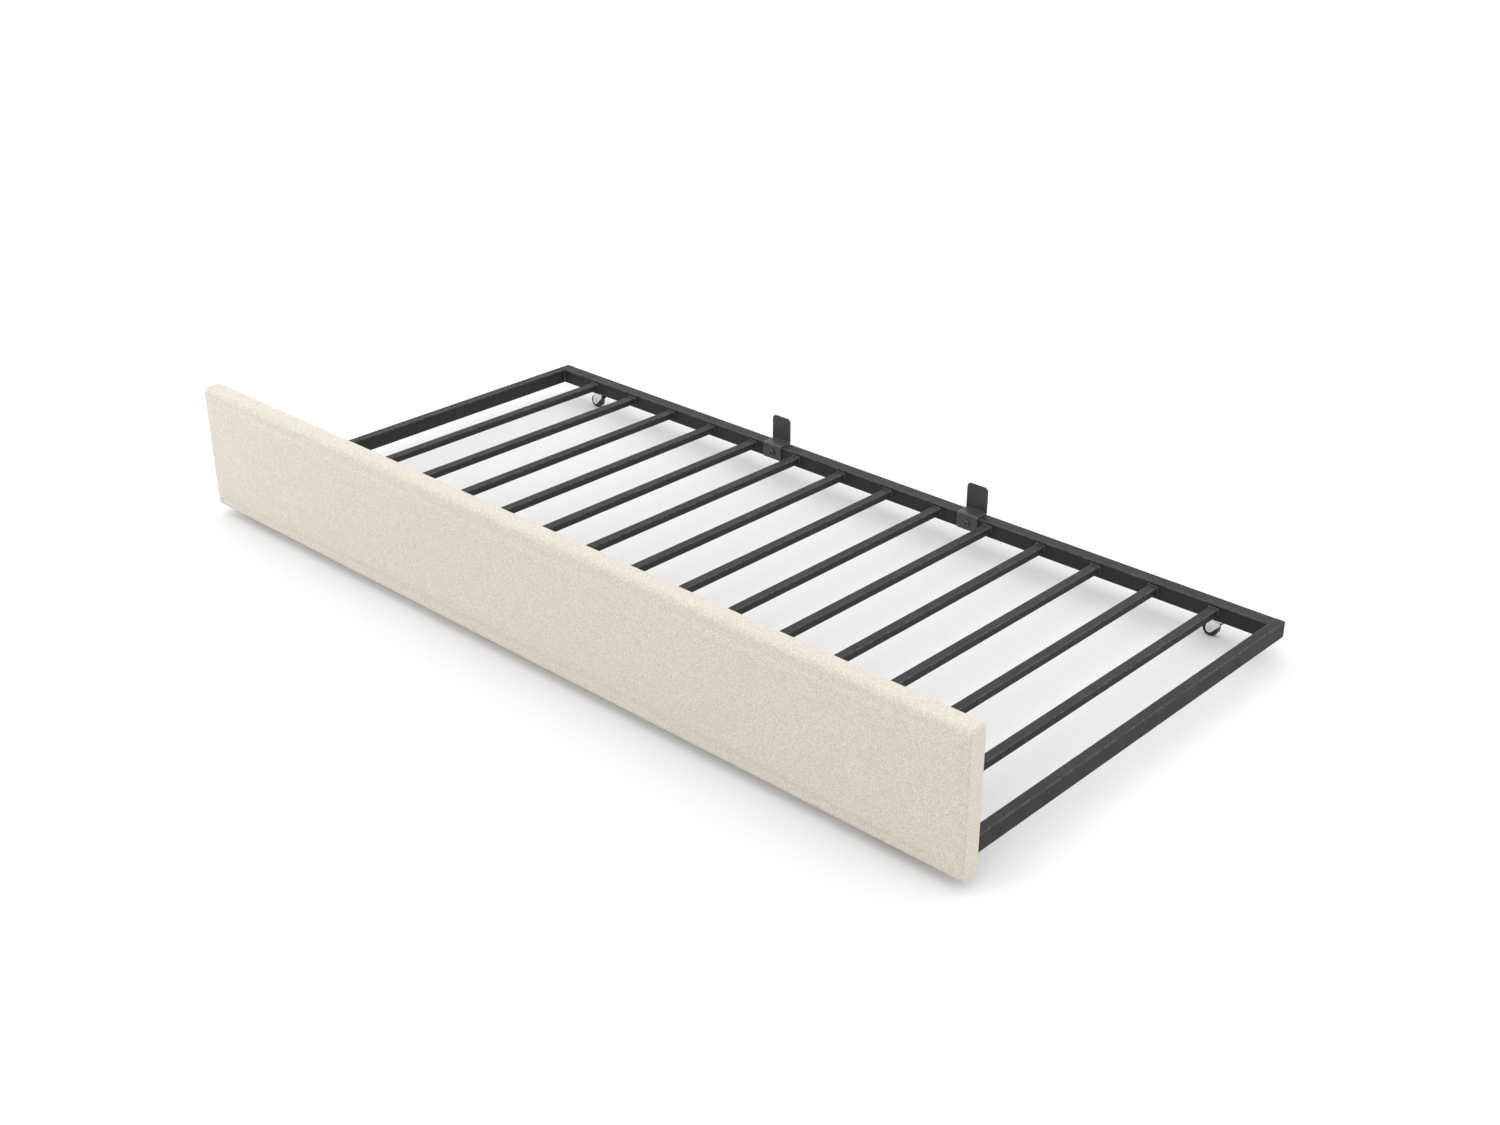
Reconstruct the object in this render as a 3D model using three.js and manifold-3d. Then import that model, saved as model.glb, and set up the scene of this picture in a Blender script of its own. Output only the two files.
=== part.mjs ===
// Trundle bed: a low steel frame on four swivel casters, with an upholstered front panel.
// Millimetres. X runs along the bed, Y from the panel to the rear rail, Z up from the floor.
// The origin is on the floor under the middle of the whole bed.
import * as THREE from "three";
import { mergeVertices } from "three/addons/utils/BufferGeometryUtils.js";
import Module from "manifold-3d";

// ---- Frame ----
const FRAME_LENGTH = 1900; // over both side rails
const FRAME_DEPTH = 922; // from the panel's back to the rear rail's outer face
const RAIL_HEIGHT = 32;
const SIDE_RAIL_WIDTH = 20;
const LONG_RAIL_WIDTH = 29; // front rail and rear rail
const RAIL_WALL = 1.5;
const TUBE_CORNER = 2; // outer corner radius of every tube
const SLAT_COUNT = 14;
const SLAT_WIDTH = 19;
const SLAT_HEIGHT = 15;
const SLAT_WALL = 1.2;
const SLAT_DROP = 7; // slat tops lie this far below the rail tops
const CAP_FLANGE = 2; // plastic plug in the rear end of a side rail
const CAP_DEPTH = 14;
const CAP_WALL = 1.6;

// ---- Upholstered panel ----
const PANEL_OVERHANG = 16; // past the frame at each end
const PANEL_HEIGHT = 260;
const PANEL_THICKNESS = 38;
const PANEL_GROUND_CLEARANCE = 19;
const PANEL_EDGE_RADIUS = 12; // round the padded face
const PANEL_BACK_RADIUS = 3; // where the cloth turns on to the back
const COVER_THICKNESS = 1.6;
const HEM_WIDTH = 22; // cloth turned on to the board's back
const BOARD_THICKNESS = 18;
const LINING_THICKNESS = 0.8;
const LINING_MARGIN = 10; // hem left showing round the lining

// ---- Panel bolts and tee nuts ----
const PANEL_BOLT_BAYS = [-6, -2, 2, 6]; // slat bays from the middle of the bed
const PANEL_BOLT_RADIUS = 3;
const PANEL_BOLT_HEAD_RADIUS = 6.5;
const PANEL_BOLT_HEAD_HEIGHT = 3.6;
const PANEL_BOLT_SOCKET = 4; // across the flats
const PANEL_BOLT_REACH = 5; // tips stop this far behind the tee nuts' faces
const TEE_NUT_FLANGE_RADIUS = 9.5;
const TEE_NUT_FLANGE = 1.5;
const TEE_NUT_BARREL_RADIUS = 4.4;
const TEE_NUT_LENGTH = 10;

// ---- Stop tabs ----
const STOP_TAB_BAY = 2; // slat bays from the middle of the bed
const STOP_TAB_SPREAD = 9.7; // each tab sits this far outside its bay's middle
const STOP_TAB_SHIFT = 5.5; // and the pair sits this far to the right
const STOP_TAB_WIDTH = 50;
const STOP_TAB_RISE = 57; // above the rail top
const STOP_TAB_FLANGE = 31; // down the rail's inner face
const STOP_TAB_SHEET = 3;
const STOP_TAB_BEND = 1.2; // inside bend radius
const STOP_TAB_CORNER = 9;
const STOP_TAB_FOOT_CORNER = 3; // at the flange's lower edge
const STOP_BOLT_RADIUS = 4;
const STOP_BOLT_LENGTH = 16;
const STOP_BOLT_HEAD_RADIUS = 7.5;
const STOP_BOLT_HEAD_HEIGHT = 4.2;
const STOP_BOLT_SOCKET = 5; // across the flats
const STOP_NUT_FLATS = 13;
const STOP_NUT_HEIGHT = 6;

// ---- Casters ----
const WHEEL_DIAMETER = 31;
const WHEEL_WIDTH = 15;
const WHEEL_EDGE = 2; // tread corner radius
const WHEEL_HUB_RADIUS = 5;
const WHEEL_RIM = 4; // rim thickness outside the recess
const WHEEL_RECESS = 2; // depth of the recess in each side
const WHEEL_TOP_GAP = 2.4; // wheel to the fork's crown
const WHEEL_SIDE_PLAY = 0.7; // wheel to each leg
const CASTER_TRAIL = 7; // axle behind the swivel axis
const FORK_SHEET = 1.6;
const FORK_BEND = 1.6; // inside bend radius
const FORK_HALF_LENGTH = 13; // crown, each way from the swivel axis
const FORK_SKIRT = 9; // depth of the full-length part below the crown's top
const FORK_CORNER = 4;
const FORK_FOOT_RADIUS = 7.5; // round the axle
const SWIVEL_GAP = 0.6; // fork to plate
const CASTER_PLATE_THICKNESS = 2.1;
const CASTER_PLATE_LENGTH = 36;
const CASTER_PLATE_INSET = 1; // narrower than the rail, each side
const CASTER_PLATE_CORNER = 4;
const KING_RIVET_RADIUS = 3;
const KING_RIVET_HEAD_RADIUS = 5.4;
const KING_RIVET_HEAD = 1.1;
const KING_RIVET_RIM = 0.55; // straight edge of the head
const KING_RIVET_FLARE = 1.05; // the upper end is flared this much into the plate
const AXLE_RADIUS = 2.2;
const AXLE_HEAD_RADIUS = 4.2;
const AXLE_HEAD = 1.5;
const AXLE_HEAD_RIM = 0.5; // straight edge of each head
const PACKER_LENGTH = 46; // back from the front rail
const PACKER_OVERHANG = 1; // wider than the caster plate, each side

// ---- Clearances ----
const WELD_GAP = 0.3; // between pieces welded, pressed or lying against each other
const HOLE_PLAY = 0.3; // radial, round a bolt, rivet or axle
const CUT_MARGIN = 1; // cutters run this far past what they cut

// ---- Round shapes: steps in one corner, and in a full turn ----
const CORNER_STEPS = 2;
const BEND_STEPS = 4;
const PAD_STEPS = 6;
const FOOT_STEPS = 8;
const BOLT_STEPS = 16;
const WHEEL_STEPS = 32;

// ---- Heights ----
const CASTER_HEIGHT =
  WHEEL_DIAMETER + WHEEL_TOP_GAP + FORK_SHEET + SWIVEL_GAP + CASTER_PLATE_THICKNESS + WELD_GAP;
const RAIL_BOTTOM = CASTER_HEIGHT;
const RAIL_TOP = RAIL_BOTTOM + RAIL_HEIGHT;
const RAIL_MIDDLE = RAIL_BOTTOM + RAIL_HEIGHT / 2;
const SLAT_TOP = RAIL_TOP - SLAT_DROP;
const SLAT_BOTTOM = SLAT_TOP - SLAT_HEIGHT;
const PANEL_BOTTOM = PANEL_GROUND_CLEARANCE;
const PANEL_TOP = PANEL_BOTTOM + PANEL_HEIGHT;

// ---- Places along Y ----
const REAR_FACE = (FRAME_DEPTH + PANEL_THICKNESS) / 2;
const REAR_RAIL_INNER = REAR_FACE - LONG_RAIL_WIDTH;
const PANEL_FRONT = -REAR_FACE;
const PANEL_BACK = PANEL_FRONT + PANEL_THICKNESS;
const FRAME_FRONT = PANEL_BACK + WELD_GAP;
const FRONT_RAIL_INNER = FRAME_FRONT + LONG_RAIL_WIDTH;
const COVER_BACK = PANEL_BACK - LINING_THICKNESS - WELD_GAP;
const BOARD_BACK = COVER_BACK - COVER_THICKNESS - WELD_GAP;
const BOARD_FRONT = BOARD_BACK - BOARD_THICKNESS;
const FOAM_BACK = BOARD_FRONT - WELD_GAP;
const FOAM_FRONT = PANEL_FRONT + COVER_THICKNESS + WELD_GAP;

// ---- Places along X ----
const PANEL_HALF_LENGTH = FRAME_LENGTH / 2 + PANEL_OVERHANG;
const SIDE_RAIL_X = FRAME_LENGTH / 2 - SIDE_RAIL_WIDTH / 2;
const LONG_RAIL_HALF = FRAME_LENGTH / 2 - SIDE_RAIL_WIDTH - WELD_GAP;
const SLAT_PITCH = FRAME_LENGTH / (SLAT_COUNT + 1);
const slatX = (index) => (index - (SLAT_COUNT - 1) / 2) * SLAT_PITCH;
const bayX = (bay) => bay * SLAT_PITCH;
const stopTabX = (side) => bayX(side * STOP_TAB_BAY) + side * STOP_TAB_SPREAD + STOP_TAB_SHIFT;

// ---- Finishes ----
const FINISHES = {
  cream_fabric: { color: 0xddd5c8, roughness: 0.95, metalness: 0 },
  black_frame: { color: 0x343436, roughness: 0.45, metalness: 0.3 },
  zinc: { color: 0xc9ccce, roughness: 0.3, metalness: 0.9 },
  black_plastic: { color: 0x1c1c1d, roughness: 0.5, metalness: 0 },
  foam: { color: 0xe9e4c8, roughness: 1, metalness: 0 },
  board: { color: 0xb89468, roughness: 0.8, metalness: 0 },
  lining: { color: 0x2a2a2b, roughness: 0.95, metalness: 0 },
  black_bolt: { color: 0x222224, roughness: 0.4, metalness: 0.6 },
};

// ---- Solids ----
const wasm = await Module();
wasm.setup();
const MERGE_DISTANCE = 1e-4;

// A closed geometry as a solid that can be cut and joined.
function solidOf(geometry) {
  const bare = geometry.clone();
  bare.deleteAttribute("normal");
  bare.deleteAttribute("uv");
  const merged = mergeVertices(bare, MERGE_DISTANCE);
  const corners = merged.index.array;
  const kept = [];
  for (let i = 0; i < corners.length; i += 3) {
    const [a, b, c] = [corners[i], corners[i + 1], corners[i + 2]];
    if (a !== b && b !== c && c !== a) kept.push(a, b, c);
  }
  const vertProperties = new Float32Array(merged.attributes.position.array);
  const triVerts = new Uint32Array(kept);
  return new wasm.Manifold(new wasm.Mesh({ numProp: 3, vertProperties, triVerts }));
}

// A solid as a flat-shaded geometry.
function geometryOf(solid) {
  const mesh = solid.getMesh();
  const geometry = new THREE.BufferGeometry();
  geometry.setAttribute("position", new THREE.BufferAttribute(mesh.vertProperties, 3));
  geometry.setIndex(new THREE.BufferAttribute(mesh.triVerts, 1));
  const flat = geometry.toNonIndexed();
  flat.computeVertexNormals();
  return flat;
}

const UNIT_X = new THREE.Vector3(1, 0, 0);
const UNIT_Y = new THREE.Vector3(0, 1, 0);
const UNIT_Z = new THREE.Vector3(0, 0, 1);
const DIRECTIONS = {
  x: new THREE.Matrix4().makeBasis(UNIT_Y, UNIT_Z, UNIT_X), // outline drawn in Y and Z
  y: new THREE.Matrix4().makeBasis(UNIT_Z, UNIT_X, UNIT_Y), // outline drawn in Z and X
  z: new THREE.Matrix4().makeBasis(UNIT_X, UNIT_Y, UNIT_Z), // outline drawn in X and Y
};

// An outline pushed along x, y or z between two places.
function prism(outline, direction, from, to, steps = CORNER_STEPS) {
  const settings = { depth: to - from, bevelEnabled: false, curveSegments: steps / 2 };
  const geometry = new THREE.ExtrudeGeometry(outline, settings);
  geometry.translate(0, 0, from);
  geometry.applyMatrix4(DIRECTIONS[direction]);
  return solidOf(geometry);
}

// A block between two corners.
function block(low, high) {
  const size = high.map((value, axis) => value - low[axis]);
  const geometry = new THREE.BoxGeometry(...size);
  geometry.translate(...low.map((value, axis) => value + size[axis] / 2));
  return solidOf(geometry);
}

// A profile of [radius, place] points turned about the Y axis, or about Z when upright.
function turned(profile, steps, upright = false) {
  const points = profile.map(([radius, place]) => new THREE.Vector2(radius, place));
  const geometry = new THREE.LatheGeometry(points, steps);
  if (upright) geometry.applyMatrix4(new THREE.Matrix4().makeBasis(UNIT_Y, UNIT_Z, UNIT_X));
  return solidOf(geometry);
}

// A plain rod about Y, or about Z when upright.
function rod(radius, from, to, steps = BOLT_STEPS, upright = false) {
  return turned([[0, from], [radius, from], [radius, to], [0, to]], steps, upright);
}

// A rectangle whose corners are rounded by [low-low, high-low, high-high, low-high] radii.
function roundedRect(x0, y0, x1, y1, radii) {
  const [a, b, c, d] = Array.isArray(radii) ? radii : [radii, radii, radii, radii];
  const outline = new THREE.Shape();
  outline.moveTo(x0 + a, y0);
  outline.lineTo(x1 - b, y0);
  if (b) outline.absarc(x1 - b, y0 + b, b, -Math.PI / 2, 0);
  outline.lineTo(x1, y1 - c);
  if (c) outline.absarc(x1 - c, y1 - c, c, 0, Math.PI / 2);
  outline.lineTo(x0 + d, y1);
  if (d) outline.absarc(x0 + d, y1 - d, d, Math.PI / 2, Math.PI);
  outline.lineTo(x0, y0 + a);
  if (a) outline.absarc(x0 + a, y0 + a, a, Math.PI, 1.5 * Math.PI);
  return outline;
}

// A hexagon of a given size across its flats.
function hexagon(flats) {
  const outline = new THREE.Shape();
  const radius = flats / Math.sqrt(3);
  for (let i = 0; i < 6; i += 1) {
    const angle = (i * Math.PI) / 3;
    const draw = i ? "lineTo" : "moveTo";
    outline[draw](radius * Math.cos(angle), radius * Math.sin(angle));
  }
  outline.closePath();
  return outline;
}

// A rectangular tube centred on its own length, open at both ends.
function tube(direction, width, height, wall, from, to) {
  // An outline pushed along Y is drawn in Z and X, and one pushed along X in Y and Z.
  const [across, up] = direction === "y" ? [height / 2, width / 2] : [width / 2, height / 2];
  const inside = Math.max(TUBE_CORNER - wall, 0);
  const outer = prism(roundedRect(-across, -up, across, up, TUBE_CORNER), direction, from, to);
  const hollow = roundedRect(-across + wall, -up + wall, across - wall, up - wall, inside);
  return outer.subtract(prism(hollow, direction, from - CUT_MARGIN, to + CUT_MARGIN));
}

const HEAD_LIP = 0.2; // straight edge under a button head's dome, as a share of the head's height
const DOME_TURN = Math.PI / 3; // the dome's arc stops short of flat, leaving a small land at the top
const SOCKET_DEPTH = 0.6; // of the head's height

// A button-head bolt with a hexagon socket: head towards +Y or -Y, shank the other way.
function buttonBolt(shankRadius, length, headRadius, headHeight, socket, headSide) {
  const lip = headHeight * HEAD_LIP;
  const dome = [];
  for (let i = 0; i <= BEND_STEPS; i += 1) {
    const angle = (i / BEND_STEPS) * DOME_TURN;
    const rise = Math.sin(angle) / Math.sin(DOME_TURN);
    dome.push([headRadius * Math.cos(angle), lip + (headHeight - lip) * rise]);
  }
  const profile = [[0, -length], [shankRadius, -length], [shankRadius, 0], [headRadius, 0], ...dome];
  profile.push([0, headHeight]);
  const depth = headHeight * SOCKET_DEPTH;
  const recess = prism(hexagon(socket), "y", headHeight - depth, headHeight + CUT_MARGIN);
  const bolt = turned(profile, BOLT_STEPS).subtract(recess);
  return headSide < 0 ? bolt.rotate([180, 0, 0]) : bolt;
}

// ---- Steel frame ----
function frontRail() {
  let rail = tube("x", LONG_RAIL_WIDTH, RAIL_HEIGHT, RAIL_WALL, -LONG_RAIL_HALF, LONG_RAIL_HALF);
  const reach = LONG_RAIL_WIDTH / 2 + CUT_MARGIN;
  for (const bay of PANEL_BOLT_BAYS) {
    const hole = rod(PANEL_BOLT_RADIUS + HOLE_PLAY, -reach, reach);
    rail = rail.subtract(hole.translate([bayX(bay), 0, 0]));
  }
  return rail;
}

function rearRail() {
  let rail = tube("x", LONG_RAIL_WIDTH, RAIL_HEIGHT, RAIL_WALL, -LONG_RAIL_HALF, LONG_RAIL_HALF);
  const innerFace = -LONG_RAIL_WIDTH / 2;
  const [from, to] = [innerFace - CUT_MARGIN, innerFace + RAIL_WALL + CUT_MARGIN];
  for (const side of [-1, 1]) {
    const hole = rod(STOP_BOLT_RADIUS + HOLE_PLAY, from, to);
    rail = rail.subtract(hole.translate([stopTabX(side), 0, 0]));
  }
  return rail;
}

function sideRail() {
  const end = REAR_FACE - CAP_FLANGE - WELD_GAP;
  return tube("y", SIDE_RAIL_WIDTH, RAIL_HEIGHT, RAIL_WALL, FRAME_FRONT, end);
}

function slat() {
  const [from, to] = [FRONT_RAIL_INNER + WELD_GAP, REAR_RAIL_INNER - WELD_GAP];
  return tube("y", SLAT_WIDTH, SLAT_HEIGHT, SLAT_WALL, from, to);
}

// A cross-section of the side rail, inset all round, drawn in Z and X.
function railSection(inset) {
  const [up, across] = [RAIL_HEIGHT / 2 - inset, SIDE_RAIL_WIDTH / 2 - inset];
  return roundedRect(-up, -across, up, across, Math.max(TUBE_CORNER - inset, 0));
}

function sideRailCap() {
  const plugInset = RAIL_WALL + HOLE_PLAY;
  const shoulder = REAR_FACE - CAP_FLANGE;
  const flange = prism(railSection(0), "y", shoulder, REAR_FACE);
  const plugEnd = shoulder - CAP_DEPTH;
  const plug = prism(railSection(plugInset), "y", plugEnd, shoulder);
  const hollow = prism(railSection(plugInset + CAP_WALL), "y", plugEnd - CUT_MARGIN, shoulder);
  return flange.add(plug).subtract(hollow);
}

// Fills the step between the front rail's underside and the end slat's.
function casterPacker() {
  const halfWidth = CASTER_PLATE_LENGTH / 2 + PACKER_OVERHANG;
  const front = FRONT_RAIL_INNER + WELD_GAP;
  return block(
    [-halfWidth, front, RAIL_BOTTOM],
    [halfWidth, front + PACKER_LENGTH, SLAT_BOTTOM - WELD_GAP],
  );
}

// ---- Stop tabs ----
const TAB_OUTER_FACE = REAR_RAIL_INNER - WELD_GAP - STOP_TAB_SHEET; // of the flange that is bolted on

// The bent strip seen from the end: flange, step over the rail, upright. Drawn in Y and Z.
function stopTabSection() {
  const inside = STOP_TAB_BEND;
  const outside = STOP_TAB_BEND + STOP_TAB_SHEET;
  const flangeBack = TAB_OUTER_FACE + STOP_TAB_SHEET;
  const bottom = RAIL_TOP - STOP_TAB_FLANGE;
  const under = RAIL_TOP + WELD_GAP;
  const over = under + STOP_TAB_SHEET;
  const top = RAIL_TOP + STOP_TAB_RISE;
  const uprightFront = REAR_FACE - STOP_TAB_SHEET;
  const section = new THREE.Shape();
  section.moveTo(TAB_OUTER_FACE, bottom);
  section.lineTo(flangeBack, bottom);
  section.absarc(flangeBack + inside, under - inside, inside, Math.PI, Math.PI / 2, true);
  section.absarc(REAR_FACE - outside, under + outside, outside, -Math.PI / 2, 0);
  section.lineTo(REAR_FACE, top);
  section.lineTo(uprightFront, top);
  section.absarc(uprightFront - inside, over + inside, inside, 0, -Math.PI / 2, true);
  section.absarc(TAB_OUTER_FACE + outside, over - outside, outside, Math.PI / 2, Math.PI);
  section.closePath();
  return section;
}

function stopTab() {
  const half = STOP_TAB_WIDTH / 2;
  const strip = prism(stopTabSection(), "x", -half, half, BEND_STEPS);
  const [bottom, top] = [RAIL_TOP - STOP_TAB_FLANGE, RAIL_TOP + STOP_TAB_RISE];
  const foot = STOP_TAB_FOOT_CORNER;
  const corners = [foot, STOP_TAB_CORNER, STOP_TAB_CORNER, foot];
  const face = roundedRect(bottom, -half, top, half, corners);
  const front = TAB_OUTER_FACE - CUT_MARGIN;
  const trimmed = strip.intersect(prism(face, "y", front, REAR_FACE + CUT_MARGIN, FOOT_STEPS));
  const hole = rod(STOP_BOLT_RADIUS + HOLE_PLAY, front, REAR_RAIL_INNER);
  return trimmed.subtract(hole.translate([0, 0, RAIL_MIDDLE]));
}

function stopTabBolt() {
  return buttonBolt(
    STOP_BOLT_RADIUS,
    STOP_BOLT_LENGTH,
    STOP_BOLT_HEAD_RADIUS,
    STOP_BOLT_HEAD_HEIGHT,
    STOP_BOLT_SOCKET,
    -1,
  );
}

function stopTabNut() {
  const body = prism(hexagon(STOP_NUT_FLATS), "y", 0, STOP_NUT_HEIGHT);
  return body.subtract(rod(STOP_BOLT_RADIUS + HOLE_PLAY, -CUT_MARGIN, STOP_NUT_HEIGHT + CUT_MARGIN));
}

// ---- Upholstered panel ----
// A slab with the panel's rounded face, drawn in from the panel's outline all round.
function panelSlab(inset, front, back, backRadius = 0) {
  const face = Math.min(PANEL_EDGE_RADIUS - inset, back - front - backRadius);
  const half = PANEL_HALF_LENGTH - inset;
  const [bottom, top] = [PANEL_BOTTOM + inset, PANEL_TOP - inset];
  const fromEnd = roundedRect(front, bottom, back, top, [face, backRadius, backRadius, face]);
  const fromAbove = roundedRect(-half, front, half, back, [face, face, backRadius, backRadius]);
  const along = prism(fromEnd, "x", -half, half, PAD_STEPS);
  return along.intersect(prism(fromAbove, "z", bottom, top, PAD_STEPS));
}

function panelCover() {
  const outside = panelSlab(0, PANEL_FRONT, COVER_BACK, PANEL_BACK_RADIUS);
  const filled = panelSlab(COVER_THICKNESS, PANEL_FRONT + COVER_THICKNESS, BOARD_BACK + WELD_GAP);
  const opening = block(
    [-PANEL_HALF_LENGTH + HEM_WIDTH, BOARD_BACK, PANEL_BOTTOM + HEM_WIDTH],
    [PANEL_HALF_LENGTH - HEM_WIDTH, PANEL_BACK, PANEL_TOP - HEM_WIDTH],
  );
  return outside.subtract(filled).subtract(opening);
}

const PANEL_FILL_INSET = COVER_THICKNESS + WELD_GAP;

// The part of the cover's filling that lies between two depths, with its rounded edges.
function panelFill(front, back) {
  const filling = panelSlab(PANEL_FILL_INSET, FOAM_FRONT, BOARD_BACK);
  const low = [-PANEL_HALF_LENGTH, front, PANEL_BOTTOM];
  const high = [PANEL_HALF_LENGTH, back, PANEL_TOP];
  return filling.intersect(block(low, high));
}

function panelFoam() {
  return panelFill(FOAM_FRONT, FOAM_BACK);
}

function panelBoard() {
  let board = panelFill(BOARD_FRONT, BOARD_BACK);
  const front = BOARD_FRONT - CUT_MARGIN;
  const counterbore = BOARD_FRONT + TEE_NUT_FLANGE + WELD_GAP;
  for (const bay of PANEL_BOLT_BAYS) {
    const hole = rod(TEE_NUT_BARREL_RADIUS + HOLE_PLAY, front, BOARD_BACK + CUT_MARGIN);
    const seat = rod(TEE_NUT_FLANGE_RADIUS + HOLE_PLAY, front, counterbore);
    board = board.subtract(hole.add(seat).translate([bayX(bay), 0, RAIL_MIDDLE]));
  }
  return board;
}

function panelLining() {
  const half = PANEL_HALF_LENGTH - LINING_MARGIN;
  const front = PANEL_BACK - LINING_THICKNESS;
  let lining = block(
    [-half, front, PANEL_BOTTOM + LINING_MARGIN],
    [half, PANEL_BACK, PANEL_TOP - LINING_MARGIN],
  );
  for (const bay of PANEL_BOLT_BAYS) {
    const hole = rod(PANEL_BOLT_RADIUS + HOLE_PLAY, front - CUT_MARGIN, PANEL_BACK + CUT_MARGIN);
    lining = lining.subtract(hole.translate([bayX(bay), 0, RAIL_MIDDLE]));
  }
  return lining;
}

const PANEL_BOLT_SEAT = FRONT_RAIL_INNER + WELD_GAP; // the heads bear on the rail's inner face

function panelBolt() {
  const tip = BOARD_FRONT + PANEL_BOLT_REACH;
  return buttonBolt(
    PANEL_BOLT_RADIUS,
    PANEL_BOLT_SEAT - tip,
    PANEL_BOLT_HEAD_RADIUS,
    PANEL_BOLT_HEAD_HEIGHT,
    PANEL_BOLT_SOCKET,
    1,
  );
}

function panelTeeNut() {
  const bore = PANEL_BOLT_RADIUS + HOLE_PLAY;
  const profile = [
    [bore, 0],
    [TEE_NUT_FLANGE_RADIUS, 0],
    [TEE_NUT_FLANGE_RADIUS, TEE_NUT_FLANGE],
    [TEE_NUT_BARREL_RADIUS, TEE_NUT_FLANGE],
    [TEE_NUT_BARREL_RADIUS, TEE_NUT_LENGTH],
    [bore, TEE_NUT_LENGTH],
    [bore, 0],
  ];
  return turned(profile, BOLT_STEPS);
}

// ---- Casters: each is drawn with its swivel axis on Z and the floor at zero ----
const AXLE_HEIGHT = WHEEL_DIAMETER / 2;
const PLATE_TOP = CASTER_HEIGHT - WELD_GAP;
const PLATE_UNDER = PLATE_TOP - CASTER_PLATE_THICKNESS;
const FORK_TOP = PLATE_UNDER - SWIVEL_GAP;
const FORK_UNDER = FORK_TOP - FORK_SHEET;
const FORK_INNER = WHEEL_WIDTH / 2 + WHEEL_SIDE_PLAY;
const FORK_OUTER = FORK_INNER + FORK_SHEET;

function casterPlate() {
  const [length, width] = [CASTER_PLATE_LENGTH / 2, LONG_RAIL_WIDTH / 2 - CASTER_PLATE_INSET];
  const outline = roundedRect(-length, -width, length, width, CASTER_PLATE_CORNER);
  const plate = prism(outline, "z", PLATE_UNDER, PLATE_TOP);
  const bore = KING_RIVET_RADIUS + HOLE_PLAY;
  const [from, to] = [PLATE_UNDER - CUT_MARGIN, PLATE_TOP + CUT_MARGIN];
  const hole = [
    [0, from],
    [bore, from],
    [bore, PLATE_TOP - KING_RIVET_FLARE],
    [bore + KING_RIVET_FLARE, PLATE_TOP],
    [bore + KING_RIVET_FLARE, to],
    [0, to],
  ];
  return plate.subtract(turned(hole, BOLT_STEPS, true));
}

function casterKingRivet() {
  const headTop = FORK_UNDER - WELD_GAP;
  const headBottom = headTop - KING_RIVET_HEAD;
  const profile = [
    [0, headBottom],
    [KING_RIVET_HEAD_RADIUS - KING_RIVET_HEAD, headBottom],
    [KING_RIVET_HEAD_RADIUS, headTop - KING_RIVET_RIM],
    [KING_RIVET_HEAD_RADIUS, headTop],
    [KING_RIVET_RADIUS, headTop],
    [KING_RIVET_RADIUS, PLATE_TOP - KING_RIVET_FLARE],
    [KING_RIVET_RADIUS + KING_RIVET_FLARE, PLATE_TOP],
    [0, PLATE_TOP],
  ];
  return turned(profile, BOLT_STEPS, true);
}

// The fork's bent sheet seen from the end, drawn in Y and Z.
function forkSection() {
  const [inside, outside] = [FORK_BEND, FORK_BEND + FORK_SHEET];
  const foot = AXLE_HEIGHT - FORK_FOOT_RADIUS;
  const section = new THREE.Shape();
  section.moveTo(-FORK_OUTER, foot);
  section.lineTo(-FORK_INNER, foot);
  section.absarc(-FORK_INNER + inside, FORK_UNDER - inside, inside, Math.PI, Math.PI / 2, true);
  section.absarc(FORK_INNER - inside, FORK_UNDER - inside, inside, Math.PI / 2, 0, true);
  section.lineTo(FORK_INNER, foot);
  section.lineTo(FORK_OUTER, foot);
  section.absarc(FORK_OUTER - outside, FORK_TOP - outside, outside, 0, Math.PI / 2);
  section.absarc(-FORK_OUTER + outside, FORK_TOP - outside, outside, Math.PI / 2, Math.PI);
  section.closePath();
  return section;
}

// The fork seen from the side, drawn in Z and X: a full-length skirt that tapers to a round foot.
function forkSide() {
  const skirt = FORK_TOP - FORK_SKIRT;
  const half = FORK_HALF_LENGTH;
  const corner = FORK_CORNER;
  const tangent = (x, turn) => {
    const [up, along] = [skirt - AXLE_HEIGHT, x + CASTER_TRAIL];
    return Math.atan2(along, up) + turn * Math.acos(FORK_FOOT_RADIUS / Math.hypot(up, along));
  };
  const side = new THREE.Shape();
  side.moveTo(skirt, -half);
  side.absarc(FORK_TOP - corner, -half + corner, corner, -Math.PI / 2, 0);
  side.absarc(FORK_TOP - corner, half - corner, corner, 0, Math.PI / 2);
  side.lineTo(skirt, half);
  const [from, to] = [tangent(half, 1), tangent(-half, -1) + 2 * Math.PI];
  side.absarc(AXLE_HEIGHT, -CASTER_TRAIL, FORK_FOOT_RADIUS, from, to);
  side.closePath();
  return side;
}

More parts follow.
